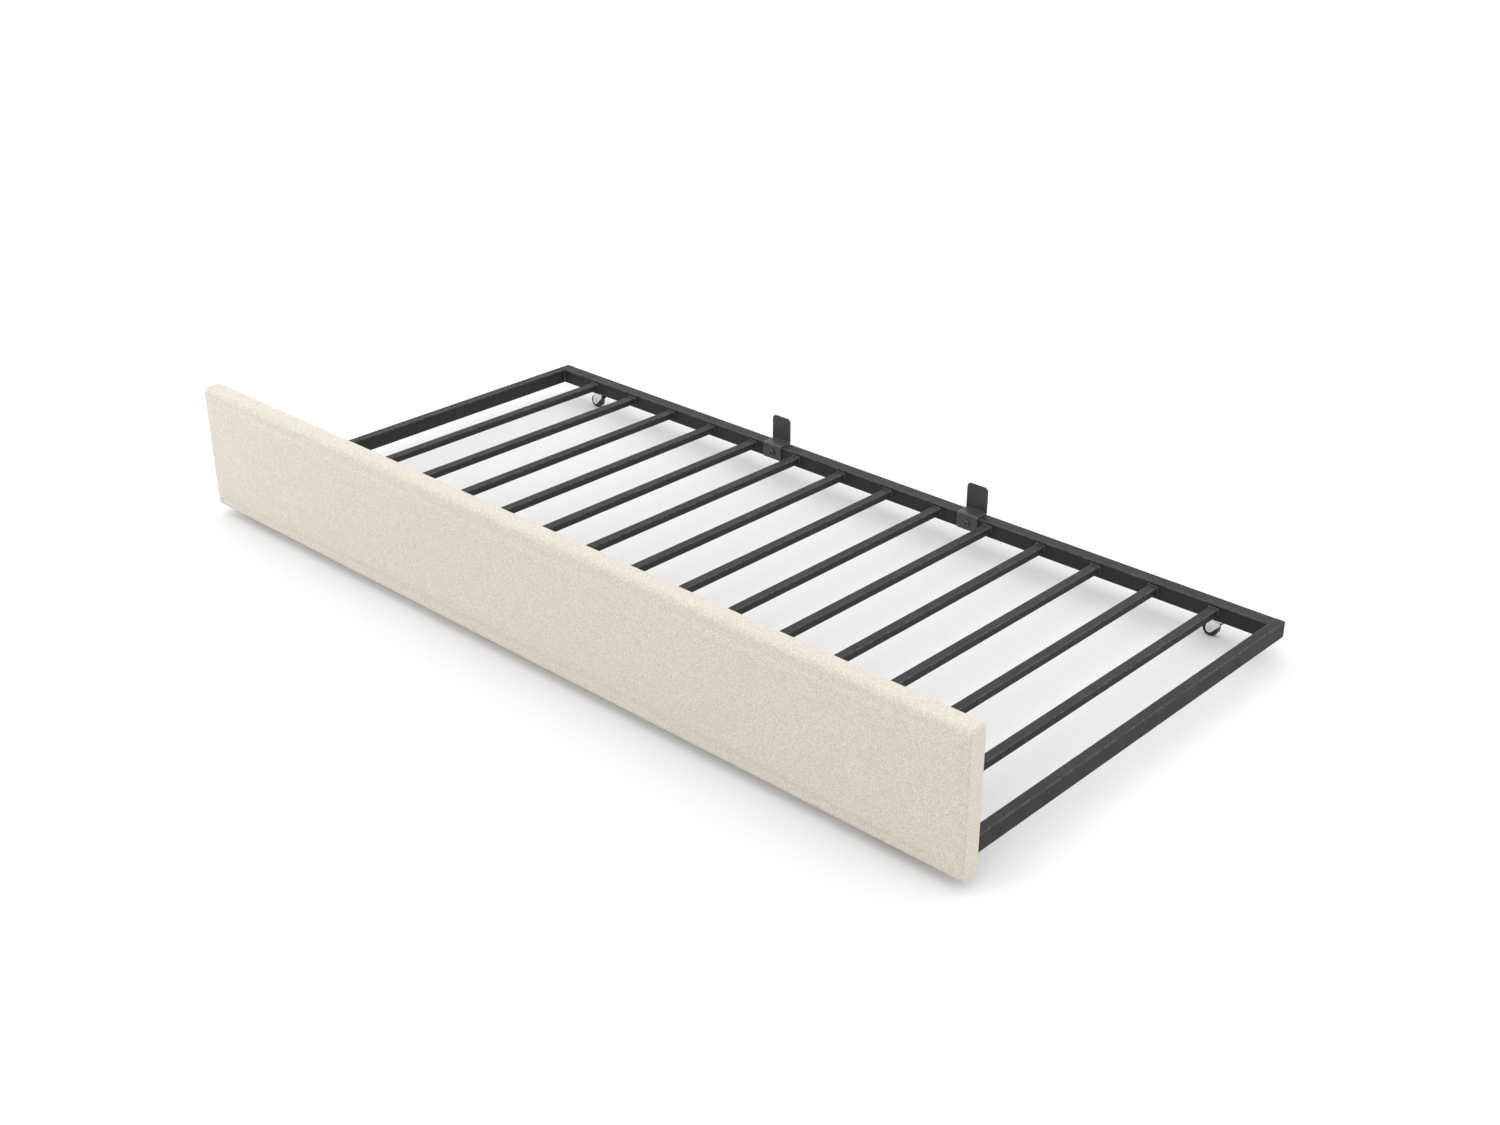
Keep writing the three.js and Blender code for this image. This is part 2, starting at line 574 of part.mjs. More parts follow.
function casterFork() {
  const rear = Math.min(-CASTER_TRAIL - FORK_FOOT_RADIUS, -FORK_HALF_LENGTH) - CUT_MARGIN;
  const sheet = prism(forkSection(), "x", rear, FORK_HALF_LENGTH + CUT_MARGIN, BEND_STEPS);
  const reach = FORK_OUTER + CUT_MARGIN;
  const side = prism(forkSide(), "y", -reach, reach, FOOT_STEPS);
  const axleHole = rod(AXLE_RADIUS + HOLE_PLAY, -reach, reach);
  const [under, over] = [FORK_UNDER - CUT_MARGIN, FORK_TOP + CUT_MARGIN];
  const rivetHole = rod(KING_RIVET_RADIUS + HOLE_PLAY, under, over, BOLT_STEPS, true);
  return sheet
    .intersect(side)
    .subtract(axleHole.translate([-CASTER_TRAIL, 0, AXLE_HEIGHT]))
    .subtract(rivetHole);
}

function casterAxle() {
  const seat = FORK_OUTER + WELD_GAP;
  const edge = seat + AXLE_HEAD_RIM;
  const tip = seat + AXLE_HEAD;
  const crown = AXLE_HEAD_RADIUS - AXLE_HEAD;
  const profile = [
    [0, -tip],
    [crown, -tip],
    [AXLE_HEAD_RADIUS, -edge],
    [AXLE_HEAD_RADIUS, -seat],
    [AXLE_RADIUS, -seat],
    [AXLE_RADIUS, seat],
    [AXLE_HEAD_RADIUS, seat],
    [AXLE_HEAD_RADIUS, edge],
    [crown, tip],
    [0, tip],
  ];
  return turned(profile, BOLT_STEPS);
}

function casterWheel() {
  const [radius, half] = [WHEEL_DIAMETER / 2, WHEEL_WIDTH / 2];
  const bore = AXLE_RADIUS + HOLE_PLAY;
  const recess = half - WHEEL_RECESS;
  const rim = radius - WHEEL_RIM;
  const lower = [
    [bore, -half],
    [WHEEL_HUB_RADIUS, -half],
    [WHEEL_HUB_RADIUS, -recess],
    [rim, -recess],
    [rim, -half],
    [radius - WHEEL_EDGE, -half],
    [radius, -half + WHEEL_EDGE],
  ];
  const upper = lower.map(([r, y]) => [r, -y]).reverse();
  return turned([...lower, ...upper, lower[0]], WHEEL_STEPS);
}

// ---- Assembly ----
const bed = new THREE.Group();

// Adds a named piece to a group, with its own material, at a place.
function add(group, name, geometry, finish, place = [0, 0, 0]) {
  const mesh = new THREE.Mesh(geometry, new THREE.MeshStandardMaterial(FINISHES[finish]));
  mesh.name = name;
  mesh.position.set(...place);
  group.add(mesh);
}

const longRailMiddle = (innerOrFront) => [0, innerOrFront + LONG_RAIL_WIDTH / 2, RAIL_MIDDLE];
add(bed, "front_rail", geometryOf(frontRail()), "black_frame", longRailMiddle(FRAME_FRONT));
add(bed, "rear_rail", geometryOf(rearRail()), "black_frame", longRailMiddle(REAR_RAIL_INNER));

const SIDES = { left: -1, right: 1 };
const pairGeometry = {
  side_rail: geometryOf(sideRail()),
  side_rail_cap: geometryOf(sideRailCap()),
  caster_packer: geometryOf(casterPacker()),
  stop_tab: geometryOf(stopTab()),
  stop_tab_bolt: geometryOf(stopTabBolt()),
  stop_tab_nut: geometryOf(stopTabNut()),
};
const END_SLAT_X = slatX(SLAT_COUNT - 1);
for (const [side, sign] of Object.entries(SIDES)) {
  const railPlace = [sign * SIDE_RAIL_X, 0, RAIL_MIDDLE];
  const boltPlace = [stopTabX(sign), TAB_OUTER_FACE - WELD_GAP, RAIL_MIDDLE];
  const nutPlace = [stopTabX(sign), REAR_RAIL_INNER + RAIL_WALL + WELD_GAP, RAIL_MIDDLE];
  const pair = (name, finish, place) => add(bed, `${name}_${side}`, pairGeometry[name], finish, place);
  pair("side_rail", "black_frame", railPlace);
  pair("side_rail_cap", "black_plastic", railPlace);
  pair("caster_packer", "black_frame", [sign * END_SLAT_X, 0, 0]);
  pair("stop_tab", "black_frame", [stopTabX(sign), 0, 0]);
  pair("stop_tab_bolt", "black_bolt", boltPlace);
  pair("stop_tab_nut", "zinc", nutPlace);
}

const slatGeometry = geometryOf(slat());
for (let i = 0; i < SLAT_COUNT; i += 1) {
  const name = `slat_${String(i + 1).padStart(2, "0")}`;
  add(bed, name, slatGeometry, "black_frame", [slatX(i), 0, SLAT_TOP - SLAT_HEIGHT / 2]);
}

add(bed, "panel_board", geometryOf(panelBoard()), "board");
add(bed, "panel_foam", geometryOf(panelFoam()), "foam");
add(bed, "panel_cover", geometryOf(panelCover()), "cream_fabric");
add(bed, "panel_lining", geometryOf(panelLining()), "lining");
const panelBoltGeometry = geometryOf(panelBolt());
const teeNutGeometry = geometryOf(panelTeeNut());
PANEL_BOLT_BAYS.forEach((bay, i) => {
  const boltPlace = [bayX(bay), PANEL_BOLT_SEAT, RAIL_MIDDLE];
  const nutPlace = [bayX(bay), BOARD_FRONT, RAIL_MIDDLE];
  add(bed, `panel_bolt_${i + 1}`, panelBoltGeometry, "black_bolt", boltPlace);
  add(bed, `panel_tee_nut_${i + 1}`, teeNutGeometry, "zinc", nutPlace);
});

const CASTER_ROWS = {
  front: FRONT_RAIL_INNER + WELD_GAP + PACKER_LENGTH / 2,
  rear: REAR_RAIL_INNER + LONG_RAIL_WIDTH / 2,
};
const casterGeometry = {
  plate: geometryOf(casterPlate()),
  king_rivet: geometryOf(casterKingRivet()),
  fork: geometryOf(casterFork()),
  axle: geometryOf(casterAxle()),
  wheel: geometryOf(casterWheel()),
};
for (const [row, y] of Object.entries(CASTER_ROWS)) {
  for (const [side, sign] of Object.entries(SIDES)) {
    const caster = new THREE.Group();
    const name = `caster_${row}_${side}`;
    const axlePlace = [-CASTER_TRAIL, 0, AXLE_HEIGHT];
    add(caster, `${name}_plate`, casterGeometry.plate, "zinc");
    add(caster, `${name}_king_rivet`, casterGeometry.king_rivet, "zinc");
    add(caster, `${name}_fork`, casterGeometry.fork, "zinc");
    add(caster, `${name}_axle`, casterGeometry.axle, "zinc", axlePlace);
    add(caster, `${name}_wheel`, casterGeometry.wheel, "black_plastic", axlePlace);
    caster.position.set(sign * END_SLAT_X, y, 0);
    bed.add(caster);
  }
}

export default bed;
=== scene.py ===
import math
import random

import bmesh
import bpy
import numpy as np
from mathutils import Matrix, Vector, noise
from mathutils.bvhtree import BVHTree


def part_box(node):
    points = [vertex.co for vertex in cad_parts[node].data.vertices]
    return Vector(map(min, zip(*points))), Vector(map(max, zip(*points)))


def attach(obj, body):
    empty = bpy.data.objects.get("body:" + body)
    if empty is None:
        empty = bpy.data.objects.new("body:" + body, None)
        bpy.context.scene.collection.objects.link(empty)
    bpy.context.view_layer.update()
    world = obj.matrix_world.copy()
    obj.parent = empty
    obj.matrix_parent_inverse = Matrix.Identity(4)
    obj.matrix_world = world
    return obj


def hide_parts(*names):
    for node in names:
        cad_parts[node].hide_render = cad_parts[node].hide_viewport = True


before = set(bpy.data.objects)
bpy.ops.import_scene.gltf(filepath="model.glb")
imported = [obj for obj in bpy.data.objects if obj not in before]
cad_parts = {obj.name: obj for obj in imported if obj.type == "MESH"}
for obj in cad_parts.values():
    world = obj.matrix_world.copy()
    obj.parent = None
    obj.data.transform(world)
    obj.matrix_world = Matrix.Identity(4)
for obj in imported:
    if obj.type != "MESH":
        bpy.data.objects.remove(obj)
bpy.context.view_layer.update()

MM = 0.001
BED = "frame"
SIDES = ("left", "right")
ROWS = ("front", "rear")
X, Y, Z = Vector((1, 0, 0)), Vector((0, 1, 0)), Vector((0, 0, 1))
scene = bpy.context.scene


# ---- Camera, light and floor ----
def add_camera():
    data = bpy.data.cameras.new("camera")
    data.sensor_width = 36.0
    data.lens = 44.91
    data.clip_end = 100.0
    camera = bpy.data.objects.new("camera", data)
    camera.location = (2.2553, -2.3081, 1.6480)
    camera.rotation_euler = (math.radians(90 - 26.52), 0.0, math.radians(43.09))
    scene.collection.objects.link(camera)
    scene.camera = camera


add_camera()


def add_light(name, kind, place, power):
    data = bpy.data.lights.new(name, kind)
    data.energy = power
    light = bpy.data.objects.new(name, data)
    light.location = place
    scene.collection.objects.link(light)
    return light


def add_soft_box(name, place, target, width, height, power):
    """A large soft light at a place, turned towards a target."""
    light = add_light(name, "AREA", place, power)
    light.data.shape = "RECTANGLE"
    light.data.size = width
    light.data.size_y = height
    light.rotation_euler = (Vector(target) - Vector(place)).to_track_quat("-Z", "Y").to_euler()


def add_studio():
    """A wide even glow from above, two soft boxes at the bed's ends and a pale surround."""
    glow = add_light("overhead_glow", "SUN", (0.0, 0.0, 3.0), 2.2)
    glow.data.angle = math.radians(130)
    add_soft_box("end_light", (4.2, -0.6, 1.4), (0.0, 0.0, 0.1), 2.0, 1.6, 10.0)
    add_soft_box("left_light", (-2.4, -1.9, 0.9), (-0.9, -0.4, 0.15), 1.4, 1.2, 14.0)
    world = bpy.data.worlds.new("studio_surround")
    world.use_nodes = True
    surround = world.node_tree.nodes["Background"]
    surround.inputs["Color"].default_value = (1.0, 1.0, 1.0, 1.0)
    surround.inputs["Strength"].default_value = 0.82
    scene.world = world
    scene.view_settings.view_transform = "Standard"


def add_floor(material):
    half = 30.0
    mesh = bpy.data.meshes.new("studio_floor")
    corners = [(-half, -half, 0.0), (half, -half, 0.0), (half, half, 0.0), (-half, half, 0.0)]
    mesh.from_pydata(corners, [], [(0, 1, 2, 3)])
    mesh.materials.append(material)
    floor = bpy.data.objects.new("studio_floor", mesh)
    scene.collection.objects.link(floor)


# ---- Shader building ----
def node(tree, kind, inputs=None, **settings):
    """A shader node with its settings, and its inputs set to a value or joined to a socket."""
    made = tree.nodes.new("ShaderNode" + kind)
    for name, value in settings.items():
        setattr(made, name, value)
    for name, value in (inputs or {}).items():
        if isinstance(value, bpy.types.NodeSocket):
            tree.links.new(value, made.inputs[name])
        else:
            made.inputs[name].default_value = value
    return made


def colour(red, green, blue):
    return (red, green, blue, 1.0)


def new_effect(name, values, outputs):
    """A node group with number inputs and named outputs: its tree, its inputs and its end node."""
    tree = bpy.data.node_groups.new(name, "ShaderNodeTree")
    for label, value in values.items():
        socket = tree.interface.new_socket(label, in_out="INPUT", socket_type="NodeSocketFloat")
        socket.default_value = value
    for label in outputs:
        tree.interface.new_socket(label, in_out="OUTPUT", socket_type="NodeSocketFloat")
    start = tree.nodes.new("NodeGroupInput")
    end = tree.nodes.new("NodeGroupOutput")
    return tree, start.outputs, end


def reckoned(tree, operation, first, second):
    return node(tree, "Math", {0: first, 1: second}, operation=operation).outputs[0]


def scaled(tree, socket, factor):
    return reckoned(tree, "MULTIPLY", socket, factor)


def per_metre(tree, size_mm):
    """Turns a feature's size in millimetres into a texture scale."""
    return reckoned(tree, "DIVIDE", 1000.0, size_mm)


def object_place(tree):
    return node(tree, "TexCoord").outputs["Object"]


def give(tree, end, **results):
    """Joins an effect's results to its outputs."""
    for label, socket in results.items():
        tree.links.new(socket, end.inputs[label])


def cloudy(tree, place, scale, detail=2.0, roughness=0.5):
    inputs = {"Vector": place, "Scale": scale, "Detail": detail, "Roughness": roughness}
    return node(tree, "TexNoise", inputs).outputs[0]


def cells(tree, place, scale, randomness=1.0):
    """Scattered round cells: each point's Distance from a middle, and a Color for each cell."""
    inputs = {"Vector": place, "Scale": scale, "Randomness": randomness}
    return node(tree, "TexVoronoi", inputs).outputs


def cell_tone(tree, found):
    return node(tree, "SeparateColor", {0: found["Color"]}).outputs[0]


def ramp_between(tree, value, low, high, out_low=0.0, out_high=1.0):
    """A smooth step of a value from one range on to another."""
    inputs = {"Value": value, "From Min": low, "From Max": high, "To Min": out_low, "To Max": out_high}
    stepped = node(tree, "MapRange", inputs, interpolation_type="SMOOTHSTEP")
    return stepped.outputs["Result"]


def coat_grain_effect():
    """Orange peel of a baked powder coat, with a few larger flow marks."""
    values = {"Grain mm": 0.8, "Flow mm": 14.0, "Flow share": 0.35}
    tree, given, end = new_effect("coat_grain", values, ("Height", "Shade"))
    place = object_place(tree)
    peel = cloudy(tree, place, per_metre(tree, given["Grain mm"]), 1.0)
    flow = cloudy(tree, place, per_metre(tree, given["Flow mm"]), 3.0)
    height = reckoned(tree, "ADD", peel, scaled(tree, flow, given["Flow share"]))
    give(tree, end, Height=height, Shade=flow)
    return tree


def edge_wear_and_highlight_effect():
    """Where an outer edge takes another tone, broken up by noise: rubbed wear, and on the black coat
    also a painted highlight.
    """
    values = {"Start": 0.52, "Full": 0.6, "Break-up mm": 9.0, "Amount": 1.0}
    tree, given, end = new_effect("edge_wear", values, ("Mask",))
    sharpness = node(tree, "NewGeometry").outputs["Pointiness"]
    edge = ramp_between(tree, sharpness, given["Start"], given["Full"])
    patches = cloudy(tree, object_place(tree), per_metre(tree, given["Break-up mm"]), 4.0, 0.65)
    kept = ramp_between(tree, patches, 0.38, 0.66, 0.25, 1.0)
    give(tree, end, Mask=scaled(tree, scaled(tree, edge, kept), given["Amount"]))
    return tree


def cloth_nub_effect():
    """Nubs of a soft woven cloth: small round grains, each its own tone, under fine loose fibres."""
    values = {"Nub mm": 2.3, "Fibre mm": 0.5, "Slub mm": 22.0}
    tree, given, end = new_effect("cloth_nubs", values, ("Height", "Shade", "Slub"))
    place = object_place(tree)
    wander = node(tree, "TexNoise", {"Vector": place, "Scale": 420.0, "Detail": 1.0})
    sway = {0: wander.outputs["Color"], 1: (0.0014, 0.0014, 0.0014), 2: place}
    moved = node(tree, "VectorMath", sway, operation="MULTIPLY_ADD")
    stretch = {"Vector": moved.outputs[0], "Scale": (1.0, 1.0, 0.8)}
    upright = node(tree, "Mapping", stretch).outputs[0]
    grain = cells(tree, upright, per_metre(tree, given["Nub mm"]), 0.9)
    nub = ramp_between(tree, grain["Distance"], 0.72, 0.12)
    fibre = cloudy(tree, upright, per_metre(tree, given["Fibre mm"]), 3.0, 0.65)
    slub = cloudy(tree, upright, per_metre(tree, given["Slub mm"]), 2.0)
    height = reckoned(tree, "ADD", nub, scaled(tree, fibre, 0.45))
    speck = scaled(tree, reckoned(tree, "ADD", cell_tone(tree, grain), fibre), 0.4)
    # The Shade is partly the nub's height, darker in the hollows between nubs as painted shade, and
    # partly each nub's own tone and the fibres.
    mingled = reckoned(tree, "ADD", scaled(tree, nub, 0.4), speck)
    give(tree, end, Height=height, Shade=ramp_between(tree, mingled, 0.15, 1.0), Slub=slub)
    return tree


def dust_effect():
    """Fine dust that settles on what faces up, in soft patches."""
    tree, given, end = new_effect("settled_dust", {"Patch mm": 60.0, "Amount": 0.5}, ("Mask",))
    normal = node(tree, "NewGeometry").outputs["Normal"]
    facing = node(tree, "SeparateXYZ", {0: normal}).outputs["Z"]
    upward = ramp_between(tree, facing, 0.2, 0.95)
    patches = cloudy(tree, object_place(tree), per_metre(tree, given["Patch mm"]), 5.0, 0.6)
    kept = ramp_between(tree, patches, 0.35, 0.75)
    give(tree, end, Mask=scaled(tree, scaled(tree, upward, kept), given["Amount"]))
    return tree


def new_finish(name, **plain):
    """A material with one principled shader, whose plain numbers sit on its own sockets."""
    material = bpy.data.materials.new(name)
    material.use_nodes = True
    tree = material.node_tree
    shader = tree.nodes["Principled BSDF"]
    for label, value in plain.items():
        shader.inputs[label.replace("_", " ")].default_value = value
    return material, tree, shader


def add_effect(tree, group, **values):
    """Places an effect with its own values. A name's underscores stand for spaces."""
    placed = node(tree, "Group", node_tree=group)
    for label, value in values.items():
        placed.inputs[label.replace("_", " ")].default_value = value
    return placed.outputs


def mixed(tree, factor, first, second):
    """A colour between two colours or colour sockets."""
    return node(tree, "Mix", {0: factor, 6: first, 7: second}, data_type="RGBA").outputs[2]


def paint(tree, shader, shade, height, depth_mm, strength=1.0):
    """Gives the shader its colour and its raised surface."""
    inputs = {"Height": height, "Distance": depth_mm * MM, "Strength": strength}
    bump = node(tree, "Bump", inputs)
    tree.links.new(shade, shader.inputs["Base Color"])
    tree.links.new(bump.outputs["Normal"], shader.inputs["Normal"])


GRAIN = coat_grain_effect()
EDGE_WEAR_AND_HIGHLIGHT = edge_wear_and_highlight_effect()
NUBS = cloth_nub_effect()
DUST = dust_effect()


def hard_finish(name, grain_mm, tones, edge_tone, gloss, depth_mm, dust=None, **plain):
    """A hard finish: tone and gloss that change with the grain, edges in another tone and settled dust.
    The edge tone is rubbed wear, and on the black coat also a painted highlight.

    grain_mm holds the sizes of grain and flow, tones the two tones and the edge tone, the edge settings
    the start, full, break-up and amount of that edge tone, gloss the two roughnesses, and dust the patch
    size, amount and colour.
    """
    material, tree, shader = new_finish(name, **plain)
    grain = add_effect(tree, GRAIN, Grain_mm=grain_mm[0], Flow_mm=grain_mm[1])
    labels = ("Start", "Full", "Break-up_mm", "Amount")
    edge_marks = add_effect(tree, EDGE_WEAR_AND_HIGHLIGHT, **dict(zip(labels, edge_tone)))
    shade = mixed(tree, edge_marks["Mask"], mixed(tree, grain["Shade"], tones[0], tones[1]), tones[2])
    if dust:
        settled = add_effect(tree, DUST, Patch_mm=dust[0], Amount=dust[1])
        shade = mixed(tree, settled["Mask"], shade, dust[2])
    roughness = ramp_between(tree, grain["Shade"], 0.3, 0.7, *gloss)
    tree.links.new(roughness, shader.inputs["Roughness"])
    paint(tree, shader, shade, grain["Height"], depth_mm)
    return material


def powder_coat(name, low, high, specular, gloss):
    """Satin black baked coat on steel, a little lighter along the edges: partly rubbed wear, partly a
    painted highlight.
    """
    # The third tone goes on the edges: partly wear, partly a painted highlight along the tube edges.
    tones = (low, high, colour(0.10, 0.10, 0.102))
    dust = (90.0, 0.12, colour(0.12, 0.119, 0.116))
    edge_tone = (0.504, 0.53, 9.0, 0.7)
    return hard_finish(name, (0.7, 40.0), tones, edge_tone, gloss, 0.035, dust, Specular_IOR_Level=specular)


def bright_zinc():
    """Bright zinc plate on the casters: pale patches, fine rolling lines and dull edges."""
    tones = (colour(0.70, 0.71, 0.715), colour(0.86, 0.865, 0.86), colour(0.93, 0.93, 0.92))
    edge_tone = (0.53, 0.66, 4.0, 0.7)
    return hard_finish("bright_zinc", (0.45, 6.0), tones, edge_tone, (0.2, 0.36), 0.02, Metallic=1.0)


def black_oxide():
    """Oiled black finish of the bolts, showing steel at the socket's rim."""
    tones = (colour(0.055, 0.055, 0.058), colour(0.09, 0.09, 0.092), colour(0.34, 0.335, 0.33))
    edge_tone = (0.55, 0.7, 2.0, 0.8)
    gloss = (0.24, 0.38)
    return hard_finish("black_oxide_bolt", (0.3, 4.0), tones, edge_tone, gloss, 0.012, Metallic=0.75)


def moulded_plastic(name, low, high, gloss, dust_amount):
    """Moulded black plastic with a spark-eroded skin and scuffed edges."""
    tones = (low, high, colour(0.12, 0.12, 0.122))
    dust = (12.0, dust_amount, colour(0.16, 0.157, 0.15))
    edge_tone = (0.53, 0.68, 3.0, 0.5)
    return hard_finish(name, (0.35, 9.0), tones, edge_tone, gloss, 0.02, dust, Specular_IOR_Level=0.5)


def cream_cloth():
    """Soft nubby cream upholstery cloth."""
    material, tree, shader = new_finish(
        "cream_upholstery",
        Roughness=0.95,
        Specular_IOR_Level=0.22,
        Sheen_Weight=0.28,
        Sheen_Roughness=0.45,
        Sheen_Tint=colour(1.0, 0.985, 0.95),
    )
    nubs = add_effect(tree, NUBS, Nub_mm=2.1, Fibre_mm=0.45, Slub_mm=30.0)
    # Valley and crown tones follow the nubs' Shade: the hollows are painted darker, painted shade, and
    # each nub keeps its own tone.
    valley = mixed(tree, nubs["Slub"], colour(0.485, 0.442, 0.370), colour(0.50, 0.456, 0.382))
    crown = mixed(tree, nubs["Slub"], colour(0.68, 0.642, 0.57), colour(0.69, 0.652, 0.58))
    paint(tree, shader, mixed(tree, nubs["Shade"], valley, crown), nubs["Height"], 0.6, 0.85)
    return material


def sewing_thread():
    """Twisted cream thread, painted darker than the cloth it holds: painted shade along the sewn seam,
    with more painted shade in the twist's grooves.
    """
    material, tree, shader = new_finish("cream_thread", Roughness=0.75, Sheen_Weight=0.2)
    lean = node(tree, "Mapping", {"Vector": object_place(tree), "Rotation": (0.6, 0.4, 0.0)})
    waves = {"Vector": lean.outputs[0], "Scale": 700.0, "Distortion": 2.0}
    twist = node(tree, "TexWave", waves).outputs["Fac"]
    shade = mixed(tree, twist, colour(0.46, 0.40, 0.32), colour(0.68, 0.61, 0.51))
    paint(tree, shader, shade, twist, 0.08)
    return material


def lining_cloth():
    """Thin black bonded lining, pressed with a fine dot pattern."""
    material, tree, shader = new_finish("black_lining", Roughness=0.9, Sheen_Weight=0.15)
    place = object_place(tree)
    pressed = ramp_between(tree, cells(tree, place, 620.0, 0.15)["Distance"], 0.25, 0.55)
    fibres = cloudy(tree, place, 2400.0, 4.0, 0.7)
    shade = mixed(tree, fibres, colour(0.014, 0.014, 0.015), colour(0.05, 0.05, 0.052))
    spotted = mixed(tree, pressed, colour(0.012, 0.012, 0.013), shade)
    paint(tree, shader, spotted, pressed, 0.12)
    return material


def open_foam():
    """Pale yellow foam with open pores, painted darker inside each pore as painted shade."""
    material, tree, shader = new_finish("open_cell_foam", Roughness=0.97)
    pore = ramp_between(tree, cells(tree, object_place(tree), 900.0)["Distance"], 0.15, 0.5)
    shade = mixed(tree, pore, colour(0.42, 0.37, 0.22), colour(0.82, 0.77, 0.58))
    paint(tree, shader, shade, pore, 0.4)
    return material


def pressed_board():
    """Particle board: mixed flakes under a sanded face."""
    material, tree, shader = new_finish("particle_board", Specular_IOR_Level=0.3)
    place = object_place(tree)
    flakes = cell_tone(tree, cells(tree, place, 320.0))
    fibres = cloudy(tree, place, 900.0, 4.0, 0.65)
    wood = mixed(tree, flakes, colour(0.33, 0.20, 0.10), colour(0.56, 0.38, 0.21))
    shade = mixed(tree, fibres, wood, colour(0.48, 0.33, 0.19))
    tree.links.new(ramp_between(tree, fibres, 0.3, 0.7, 0.7, 0.88), shader.inputs["Roughness"])
    paint(tree, shader, shade, fibres, 0.1)
    return material


def pale_floor():
    """Plain pale studio floor with barely seen patches."""
    material, tree, shader = new_finish("pale_floor", Roughness=0.9, Specular_IOR_Level=0.1)
    patches = cloudy(tree, object_place(tree), 0.8, 3.0)
    shade = mixed(tree, patches, colour(0.73, 0.73, 0.73), colour(0.76, 0.76, 0.76))
    tree.links.new(shade, shader.inputs["Base Color"])
    return material


COAT_LOW, COAT_HIGH = colour(0.020, 0.020, 0.0205), colour(0.028, 0.028, 0.0285)
# The slat welds' black is painted lighter than the frame's: a painted highlight for the bright spot at
# each weld.
WELD_HIGHLIGHT_LOW, WELD_HIGHLIGHT_HIGH = colour(0.034, 0.034, 0.0345), colour(0.055, 0.055, 0.0555)
# The tabs' black is painted lighter than the frame's: a painted reflection of the surroundings on their
# upright faces.
TAB_LIT_LOW, TAB_LIT_HIGH = colour(0.040, 0.040, 0.0405), colour(0.048, 0.048, 0.0485)
TREAD_LOW, TREAD_HIGH = colour(0.012, 0.012, 0.0125), colour(0.022, 0.022, 0.023)
PLUG_LOW, PLUG_HIGH = colour(0.016, 0.016, 0.0165), colour(0.026, 0.026, 0.027)
COAT = powder_coat("satin_black_coat", COAT_LOW, COAT_HIGH, 0.13, (0.46, 0.58))
WELD_HIGHLIGHT_COAT = powder_coat("black_coat_over_weld", WELD_HIGHLIGHT_LOW, WELD_HIGHLIGHT_HIGH, 0.5, (0.3, 0.4))
TAB_LIT_COAT = powder_coat("smooth_black_coat", TAB_LIT_LOW, TAB_LIT_HIGH, 0.4, (0.34, 0.42))
ZINC = bright_zinc()
OXIDE = black_oxide()
TREAD = moulded_plastic("wheel_black_plastic", TREAD_LOW, TREAD_HIGH, (0.34, 0.5), 0.3)
PLUG = moulded_plastic("plug_black_plastic", PLUG_LOW, PLUG_HIGH, (0.42, 0.58), 0.2)
CLOTH = cream_cloth()
THREAD = sewing_thread()
LINING = lining_cloth()
FOAM = open_foam()
BOARD = pressed_board()


# ---- Mesh building ----
# An edge that turns more than these degrees stays sharp.
CREASE = 38.0
BOLT_CREASE = 32.0
WHEEL_CREASE = 30.0
FORK_CREASE = 45.0
STAPLE_CREASE = 50.0
WELD_CREASE = 60.0
HEM_CREASE = 60.0
ALL_SMOOTH = 180.0
LEAST_RADIUS = 0.15 * MM


def make_piece(name, verts, faces, material, crease_degrees=CREASE):
    """An object from points and faces, turned outwards and smooth up to a crease angle."""
    work = bmesh.new()
    points = [work.verts.new(p) for p in verts]
    for face in faces:
        work.faces.new([points[i] for i in face])
    bmesh.ops.recalc_face_normals(work, faces=work.faces)
    mesh = bpy.data.meshes.new(name)
    work.to_mesh(mesh)
    work.free()
    mesh.materials.append(material)
    smooth(mesh, crease_degrees)
    piece = bpy.data.objects.new(name, mesh)
    scene.collection.objects.link(piece)
    return piece


def smooth(mesh, crease_degrees):
    mesh.polygons.foreach_set("use_smooth", [True] * len(mesh.polygons))
    mesh.set_sharp_from_angle(angle=math.radians(crease_degrees))


def fit(piece, body, slot, *nodes):
    """The piece rides on a body and stands for its CAD nodes. The slot is not used."""
    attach(piece, body)
    if nodes:
        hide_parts(*nodes)
    return piece


def stand_in(node_name, ending, shape, material, body, slot, crease_degrees=CREASE):
    """A piece in place of one CAD node."""
    piece = make_piece(node_name + ending, *shape, material, crease_degrees)
    return fit(piece, body, slot, node_name)


class Shape:
    """Points and faces gathered from several closed forms."""

    def __init__(self):
        self.verts = []
        self.faces = []

    def add(self, verts, faces):
        start = len(self.verts)
        self.verts += verts
        self.faces += [tuple(start + i for i in face) for face in faces]

    def piece(self, name, material, crease_degrees):
        return make_piece(name, self.verts, self.faces, material, crease_degrees)


def skinned(rings, wrap=False):
    """Faces over rings of as many points each. The ends are closed, or the last ring joins the first."""
    count = len(rings[0])
    total = len(rings)
    faces = []
    for k in range(total if wrap else total - 1):
        low, high = k * count, (k + 1) % total * count
        for i in range(count):
            j = (i + 1) % count
            faces.append((low + i, low + j, high + j, high + i))
    if not wrap:
        faces.append(tuple(range(count - 1, -1, -1)))
        faces.append(tuple(range((total - 1) * count, total * count)))
    return [point for ring in rings for point in ring], faces


